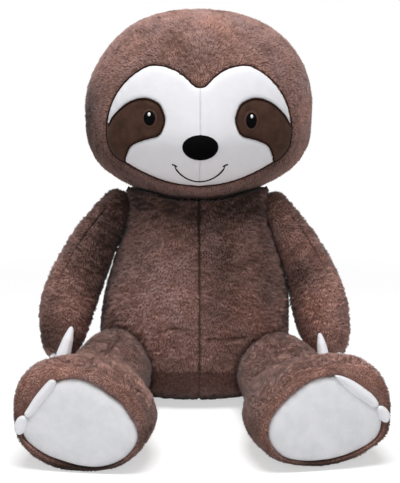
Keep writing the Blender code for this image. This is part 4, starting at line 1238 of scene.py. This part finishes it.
hidden = np.zeros(len(torso.co), bool)
for name, sign in SIDES_OF_TOY.items():
    hidden |= hollowed(torso, legs[name], -leg_spine(name, sign).run(0), SOCKET)
    hidden |= hollowed(torso, arms[name], (-sign, 0, 0), SOCKET)
hidden |= hollowed(torso, head, (0, 0, -1), SOCKET)

x, y, z = torso.co.T
above_seat = z > SEAT_TOP
torso.sew(np.where(above_seat, np.abs(x), np.abs(x) + 0.0016), 0.0022)
torso.sew(np.where(above_seat & ~hidden, np.abs(y), 1.0))
torso.sew(np.where(hidden, 1.0, np.abs(z - SEAT_TOP) + 0.0022), 0.0008)
torso.settle()
for name, sign in SIDES_OF_TOY.items():
    arms[name].sew(np.where(np.linalg.norm(arms[name].co - SHOULDER[name], axis=1) > SHOULDER_RADIUS, arms[name].offset, 1.0))
    beside_sole = (legs[name].co - HIP[name]) @ leg_spine(name, sign).run(0.5) > LEG_LENGTH * 0.93
    under_hip = np.linalg.norm(legs[name].co - HIP[name], axis=1) < THIGH_RADIUS
    legs[name].sew(np.where(beside_sole | under_hip, 1.0, legs[name].offset), 0.0016)
    legs[name].settle()

for crease in CREASES:
    line = rounded(crease, 6, closed=False)
    ends = list(zip(line[:-1], line[1:]))
    in_front = torso.co[:, 1] < -0.02
    near = np.where(in_front, nearest_line(torso.co[:, [0, 2]], ends), 1.0)
    torso.sew(near, 0.0022, 0.0032)

head.sew(from_face, 0.0024, 0.0045)
head.sew(np.abs(head.co[:, 1] - BACK_SEAM), 0.0022)

torso_tree, head_tree = boxed(torso), boxed(head)
arm_trees = {name: boxed(form) for name, form in arms.items()}
leg_trees = {name: boxed(form) for name, form in legs.items()}
foot_claws = {
    name: {label: claw_form(name, sign, rows) for label, rows in FOOT_CLAWS[name].items()} for name, sign in SIDES_OF_TOY.items()
}

# Torso panels, combed downwards

middles = torso.centres()
in_seat = middles[:, 2] < SEAT_TOP
face_hidden = hidden[torso.quads].all(1)


def torso_comb(places):
    return np.stack([places[:, 0] * 1.2, places[:, 1] * 0.5, np.full(len(places), -1.0)], 1)


def torso_flow(places):
    return -places[:, 2]


torso_neighbours = [head_tree, *arm_trees.values(), *leg_trees.values()]
for number, (name, sign) in enumerate(SIDES_OF_TOY.items()):
    for order, (place, way) in enumerate((("front", -1), ("back", 1))):
        chosen = ~in_seat & (middles[:, 0] * sign > 0) & (middles[:, 1] * way > 0)
        plush_panel(
            f"torso_{place}_{name}", torso, chosen, torso_comb, torso_flow, 20 + 2 * number + order, "torso",
            torso_neighbours, mottle=1.1,
        )
plush_panel(
    "seat_panel", torso, in_seat, torso_comb, torso_flow, 30, "torso", torso_neighbours, PILE_LENGTH * 0.6, seat=True,
)

# Hood, combed away from the face

middles = head.centres()
face_middle = np.array((0.0, -HEAD_DEPTH * 0.62, FACE_BASE + FACE_HEIGHT * 0.42))
flat = middles[:, [0, 2]]
beneath_face = (middles[:, 1] < 0) & inside(flat, FACE_OUTLINE) & (from_outline(flat, FACE_OUTLINE) > 0.006)


def head_comb(places):
    """Away from the face, and down from the crown on either side."""
    away = unit(places - face_middle)
    down = np.stack([away[:, 2], np.zeros(len(away)), -away[:, 0]], 1) * np.tanh(places[:, :1] / 0.02)
    return 0.6 * away + 0.8 * down


def head_flow(places):
    return np.linalg.norm(places - face_middle, axis=1)


def hood_trim(places):
    """No pile stands on the face, and it is cut shorter beside it."""
    flat = places[:, [0, 2]]
    front = places[:, 1] < 0.02
    away = np.where(inside(flat, FACE_OUTLINE), -1.0, 1.0) * from_outline(flat, FACE_OUTLINE)
    share = ((away + 0.0002) / 0.004).clip(0, 1) * 0.45 + 0.55
    return np.where(front, np.where(away > -0.0002, share, 0.0), 1.0)


head_neighbours = [torso_tree, *arm_trees.values()]
back = middles[:, 1] > BACK_SEAM
plush_panel("hood_back", head, back, head_comb, head_flow, 40, "head", head_neighbours, HOOD_PILE, mottle=0.8)
for number, (name, sign) in enumerate(SIDES_OF_TOY.items()):
    chosen = ~back & (middles[:, 0] * sign > 0) & ~beneath_face
    plush_panel(
        f"hood_{name}", head, chosen, head_comb, head_flow, 41 + number, "head", head_neighbours, HOOD_PILE, hood_trim, mottle=0.8,
    )

# Arms, combed towards the paw, and legs, combed towards the sole and over its rim

for number, (name, sign) in enumerate(SIDES_OF_TOY.items()):
    arm, spine = arms[name], arm_spine(name, sign)
    down = unit(spine.end - spine.start) + np.array((0.0, 0.15, 0.0))
    # The panels meet front and back, where the rings' cosine changes sign
    outer = arm.side[arm.quads].mean(1) * sign > 0
    across = arm.co[arm.quads].mean(1)[outer].mean(0) - arm.co.mean(0)
    if across[0] * sign < 0:
        outer = ~outer
    for order, (place, chosen) in enumerate((("outer", outer), ("inner", ~outer))):
        plush_panel(
            f"arm_{name}_{place}", arm, chosen, lambda places: np.tile(down, (len(places), 1)),
            lambda places: places @ unit(down), 50 + 4 * number + order, f"arm_{name}",
            [torso_tree, head_tree, leg_trees[name]], mottle=1.1,
        )

    leg, spine = legs[name], leg_spine(name, sign)
    ahead, across = spine.run(0.5), spine.frame(0.5, UP)[0]
    across = across * math.copysign(1, across[0] * sign)
    side = (leg.centres() - spine.start) @ across

    def leg_comb(places, spine=spine, ahead=ahead):
        out = places - spine.end
        out = out - np.outer(out @ ahead, ahead)
        foot = ((places - spine.start) @ ahead / LEG_LENGTH).clip(0, 1)[:, None] ** 3
        return ahead - unit(out) * 0.8 * foot

    def leg_trim(places, spine=spine, ahead=ahead):
        """The pile is worn shorter beside the sole and next to the floor."""
        along = (places - spine.start) @ ahead / LEG_LENGTH
        beside_sole = 1 - 0.35 * ((along - 0.90) / 0.08).clip(0, 1)
        low = 0.55 + 0.45 * (places[:, 2] / 0.035).clip(0, 1)
        return beside_sole * low

    for order, (place, chosen) in enumerate((("outer", side > 0), ("inner", side <= 0))):
        plush_panel(
            f"leg_{name}_{place}", leg, chosen, leg_comb, lambda places: places @ ahead, 52 + 4 * number + order,
            f"leg_{name}", [torso_tree, arm_trees[name], *(boxed(form) for form in foot_claws[name].values())], trim=leg_trim,
            mottle=0.7,
        )

# Face

for name, sign in SIDES_OF_TOY.items():
    half, patch = HALF_FACES[name], PATCHES[name]
    white = lambda points: inside(points, half) & ~inside(points, patch)
    dark = lambda points: inside(points, half) & inside(points, patch)
    cheek = sheet_on(f"face_{name}_velour", head, [half, patch], white, SHEET_LIFT, 0.0020, 0.0026, WHITE_VELOUR, 0.0012)
    finish_piece(cheek, "head", [f"face_{name}"])
    mask = sheet_on(f"eye_patch_{name}_velour", head, [half, patch], dark, SHEET_LIFT, 0.0014, 0.0024, DARK_VELOUR, 0.0012)
    finish_piece(mask, "head", [f"eye_patch_{name}"])
    # Satin stitch covers the patch's edge where it lies on the white
    within = inside(patch, half) & (from_outline(patch, half) > 0.0012)
    start = int(np.nonzero(within & ~np.roll(within, 1))[0][0])
    line = np.roll(patch, -start, 0)[np.roll(within, -start)]
    places, normals = front_of(head, line, SHEET_LIFT - 0.0004)
    edge = stitched_line(f"eye_patch_{name}_edge", places, normals, 0.0024, 0.0020, EDGE_THREAD)
    finish_piece(edge, "head", [])

for name, sign in SIDES_OF_TOY.items():
    eye_width, eye_height, out_share, up_share = EYES[name]
    middle = np.array((sign * out_share * FACE_WIDTH / 2, FACE_BASE + up_share * FACE_HEIGHT))
    for label, width, height, rise, lift, thread, slot in (
        ("eye_ring", eye_width + 0.0060, eye_height + 0.0060, 0.0, 0.0010, RING_THREAD, "dark_velour"),
        ("eye", eye_width + 0.0012, eye_height + 0.0010, 0.0, 0.0022, BLACK_THREAD, "black_thread"),
        ("eye_highlight", 0.0052, 0.0064, eye_height * 0.25, 0.0034, WHITE_THREAD, "white_thread"),
    ):
        places, normals = front_of(head, [middle + (0, rise)], SHEET_LIFT)
        bpy.ops.object.select_all(action="DESELECT")
        bpy.ops.mesh.primitive_uv_sphere_add(segments=32, ring_count=16, radius=1.0)
        pad = bpy.context.object
        pad.name = f"{label}_{name}_stitching"
        turn = Vector(normals[0]).to_track_quat("Z", "Y").to_matrix().to_4x4()
        pad.data.transform(Matrix.Translation(places[0]) @ turn @ Matrix.Diagonal((width / 2, height / 2, lift, 1)))
        pad.data.materials.append(thread)
        pad.data.shade_smooth()
        finish_piece(pad, "head", [] if label == "eye_ring" else [f"{label}_{name}"])

half = SMILE_WIDTH / 2
top = FACE_BASE + SMILE_UP_SHARE * FACE_HEIGHT
shares = np.linspace(-1, 1, 49)
arc = np.stack([shares * half, top - SMILE_DROP * (1 - shares**2) ** 0.75], 1)
marks = []
for index, line in enumerate([arc] + [
    np.array([(sign * (half - 0.4 * SMILE_TICK), top - 0.0012), (sign * half, top + 0.0012),
              (sign * (half + 0.5 * SMILE_TICK), top + 0.0026)]) for sign in (1, -1)
]):
    line = rounded(line, 1 if index == 0 else 6, closed=False)
    places, normals = front_of(head, line, SHEET_LIFT + 0.0002)
    marks.append(stitched_line(f"smile_stroke_{index}", places, normals, 0.0026, 0.0020, BLACK_THREAD))
# A thin dark line laid along the face's seam: painted shadow of the seam's groove
outline = evened(FACE_OUTLINE, SHEET_STEP)
places, normals = front_of(head, outline, 0.0002)
seam_shadow_line = stitched_line("face_seam_painted_shadow", places, normals, 0.0020, 0.0016, EDGE_THREAD)
finish_piece(seam_shadow_line, "head", [])
smile = join(*marks)
smile.name = "smile_stitching_thread"
finish_piece(smile, "head", ["smile_stitching"])

nose = softened("nose_velour", "nose", 0.0012, 12, NOSE_VELOUR, 0.0006)
finish_piece(nose, "head", ["nose"])

# Soles and claws

for name, sign in SIDES_OF_TOY.items():
    spine, angle = leg_spine(name, sign), turns(96)
    edge = around(SOLE_EDGE[name], angle)
    rings = []
    for girth, rise in smooth_rows(SOLE_SHARES, 4):
        wide, high = SOLE_WIDTH / 2 * girth * edge, SOLE_HEIGHT / 2 * girth * edge
        rings.append(foot_ring(spine, 1, sign, angle, wide, high, 1, SOLE_DOME * rise))
    under = [
        foot_ring(spine, 1, sign, angle, SOLE_WIDTH / 2 * girth * edge, SOLE_HEIGHT / 2 * girth * edge, 1, -0.0045)
        for girth in (0.3, 0.95)
    ]
    form = Form(under + rings)
    faces = [tuple(dict.fromkeys(quad)) for quad in form.quads.tolist()]
    sole = new_object(f"sole_{name}_velour", form.co, faces, SOLE_VELOUR)
    finish_piece(sole, f"leg_{name}", [f"sole_{name}"])
    for label, form in foot_claws[name].items():
        faces = [tuple(dict.fromkeys(quad)) for quad in form.quads.tolist()]
        claw = new_object(f"foot_claw_{name}_{label}_velour", form.co, faces, WHITE_VELOUR)
        finish_piece(claw, f"leg_{name}", [f"foot_claw_{name}_{label}"])
    for label, (across, up, lean, slim) in HAND_CLAW_SHIFT[name].items():
        node = f"hand_claw_{name}_{label}"
        claw = softened(f"{node}_velour", node, 0.0012, 12, WHITE_VELOUR, 0.0008)
        middle = sum((vertex.co.x for vertex in claw.data.vertices)) / len(claw.data.vertices)
        for vertex in claw.data.vertices:
            above = max(vertex.co.z - 0.07, 0.0) / 0.05
            aside = (middle - vertex.co.x) * (1 - slim)
            vertex.co += Vector((across + lean * above + aside, 0.0, up * above))
        finish_piece(claw, f"arm_{name}", [node])

# Fillings, shut in by the cloth, and the cloth neck under the head

FILLING = velour("polyester filling", "#d9d7d0", "#c9c6bd")


def shut_in(piece, form):
    """Press a filling's points back until they lie inside its cover."""
    tree = form.tree()
    for vertex in piece.data.vertices:
        place, normal, _, _ = tree.find_nearest(vertex.co)
        if (vertex.co - place).dot(normal) > -COVER - 0.0012:
            vertex.co = place - normal * (COVER + 0.0012)


for body, form in [("torso", torso), ("head", head)] + [
    (f"{limb}_{name}", forms[name]) for limb, forms in (("arm", arms), ("leg", legs)) for name in SIDES_OF_TOY
]:
    fibre = softened(f"{body}_filling_fibre", f"{body}_filling", 0.005, 3, FILLING, -0.0055)
    shut_in(fibre, form)
    finish_piece(fibre, body, [f"{body}_filling"])
# The neck cloth has no tone attribute, so its ground renders at the darkest tone: painted shade under the head
neck = softened("neck_cloth", "neck_filling", 0.004, 4, BROWN_GROUND, 0.0005)
finish_piece(neck, "head", ["neck_filling"])


# Floor, backdrop, light and camera


def white_floor(name):
    """White to the camera and in reflections, with the toy's soft shadow. Far out it is as white as the backdrop."""
    made = bpy.data.materials.new(name)
    made.use_nodes = True
    tree = made.node_tree
    tree.nodes.clear()
    rays = add(tree, "LightPath")
    seen = add(tree, "Math", {"operation": "MAXIMUM"})
    tree.links.new(rays.outputs["Is Camera Ray"], seen.inputs[0])
    tree.links.new(rays.outputs["Is Glossy Ray"], seen.inputs[1])
    place = add(tree, "TexCoord").outputs["Object"]
    away = add(tree, "VectorMath", {"operation": "LENGTH"})
    tree.links.new(place, away.inputs[0])
    far = add(tree, "MapRange", inputs={"Value": away.outputs["Value"], "From Min": 0.7, "From Max": 1.6})
    plain = add(tree, "BsdfDiffuse", inputs={"Color": hex_colour("#e6e6e6")})
    shadowed = add(tree, "BsdfDiffuse", inputs={"Color": hex_colour("#c8c8c8")})
    glow = add(tree, "Emission", inputs={"Color": hex_colour("#ffffff"), "Strength": 0.55})
    white = add(tree, "Emission", inputs={"Color": hex_colour("#ffffff"), "Strength": 1.0})
    near = add(tree, "AddShader")
    tree.links.new(shadowed.outputs[0], near.inputs[0])
    tree.links.new(glow.outputs[0], near.inputs[1])
    shown = add(tree, "MixShader", inputs={"Fac": far.outputs[0]})
    tree.links.new(near.outputs[0], shown.inputs[1])
    tree.links.new(white.outputs[0], shown.inputs[2])
    chosen = add(tree, "MixShader", inputs={"Fac": seen.outputs[0]})
    tree.links.new(plain.outputs[0], chosen.inputs[1])
    tree.links.new(shown.outputs[0], chosen.inputs[2])
    add(tree, "OutputMaterial", inputs={"Surface": chosen.outputs[0]})
    return made


bpy.ops.object.select_all(action="DESELECT")
bpy.ops.mesh.primitive_plane_add(size=14, location=(0, 0, -0.0005))
floor = bpy.context.object
floor.name = "floor"
floor.data.materials.append(white_floor("white floor"))

world = bpy.data.worlds.new("studio")
bpy.context.scene.world = world
world.use_nodes = True
tree = world.node_tree
tree.nodes.clear()
rays = add(tree, "LightPath")
seen = add(tree, "Math", {"operation": "MAXIMUM"})
tree.links.new(rays.outputs["Is Camera Ray"], seen.inputs[0])
tree.links.new(rays.outputs["Is Glossy Ray"], seen.inputs[1])
strength = add(tree, "MapRange", inputs={"Value": seen.outputs[0], "To Min": 0.14, "To Max": 1.0})
light = add(tree, "Background", inputs={"Color": hex_colour("#ffffff"), "Strength": strength.outputs[0]})
add(tree, "OutputWorld", inputs={"Surface": light.outputs[0]})


def softbox(name, place, target, size, power):
    lamp = bpy.data.lights.new(name, "AREA")
    lamp.shape = "RECTANGLE"
    lamp.size, lamp.size_y = size
    lamp.energy = power
    made = bpy.data.objects.new(name, lamp)
    made.location = place
    made.rotation_euler = (Vector(target) - Vector(place)).to_track_quat("-Z", "Y").to_euler()
    bpy.context.scene.collection.objects.link(made)


softbox("key above", (-0.05, -1.1, 3.7), (0, -0.1, 0.3), (1.9, 1.4), 129)
softbox("fill", (-0.3, -2.7, 1.1), (0, 0, 0.25), (1.6, 1.2), 14)

CAMERA_PLACE = (-0.0393, -1.4995, 0.443)
camera_data = bpy.data.cameras.new("camera")
camera = bpy.data.objects.new("camera", camera_data)
bpy.context.scene.collection.objects.link(camera)
camera.location = CAMERA_PLACE
camera.rotation_euler = (math.radians(90 - 7.4), 0, math.radians(-1.5))
camera_data.sensor_width = 36
camera_data.lens = 938 * 36 / 483
camera_data.shift_x = 2.4 / 483
camera_data.clip_start, camera_data.clip_end = 0.05, 40
bpy.context.scene.camera = camera
bpy.context.scene.view_settings.view_transform = "Standard"

low, high = MODEL_BOX
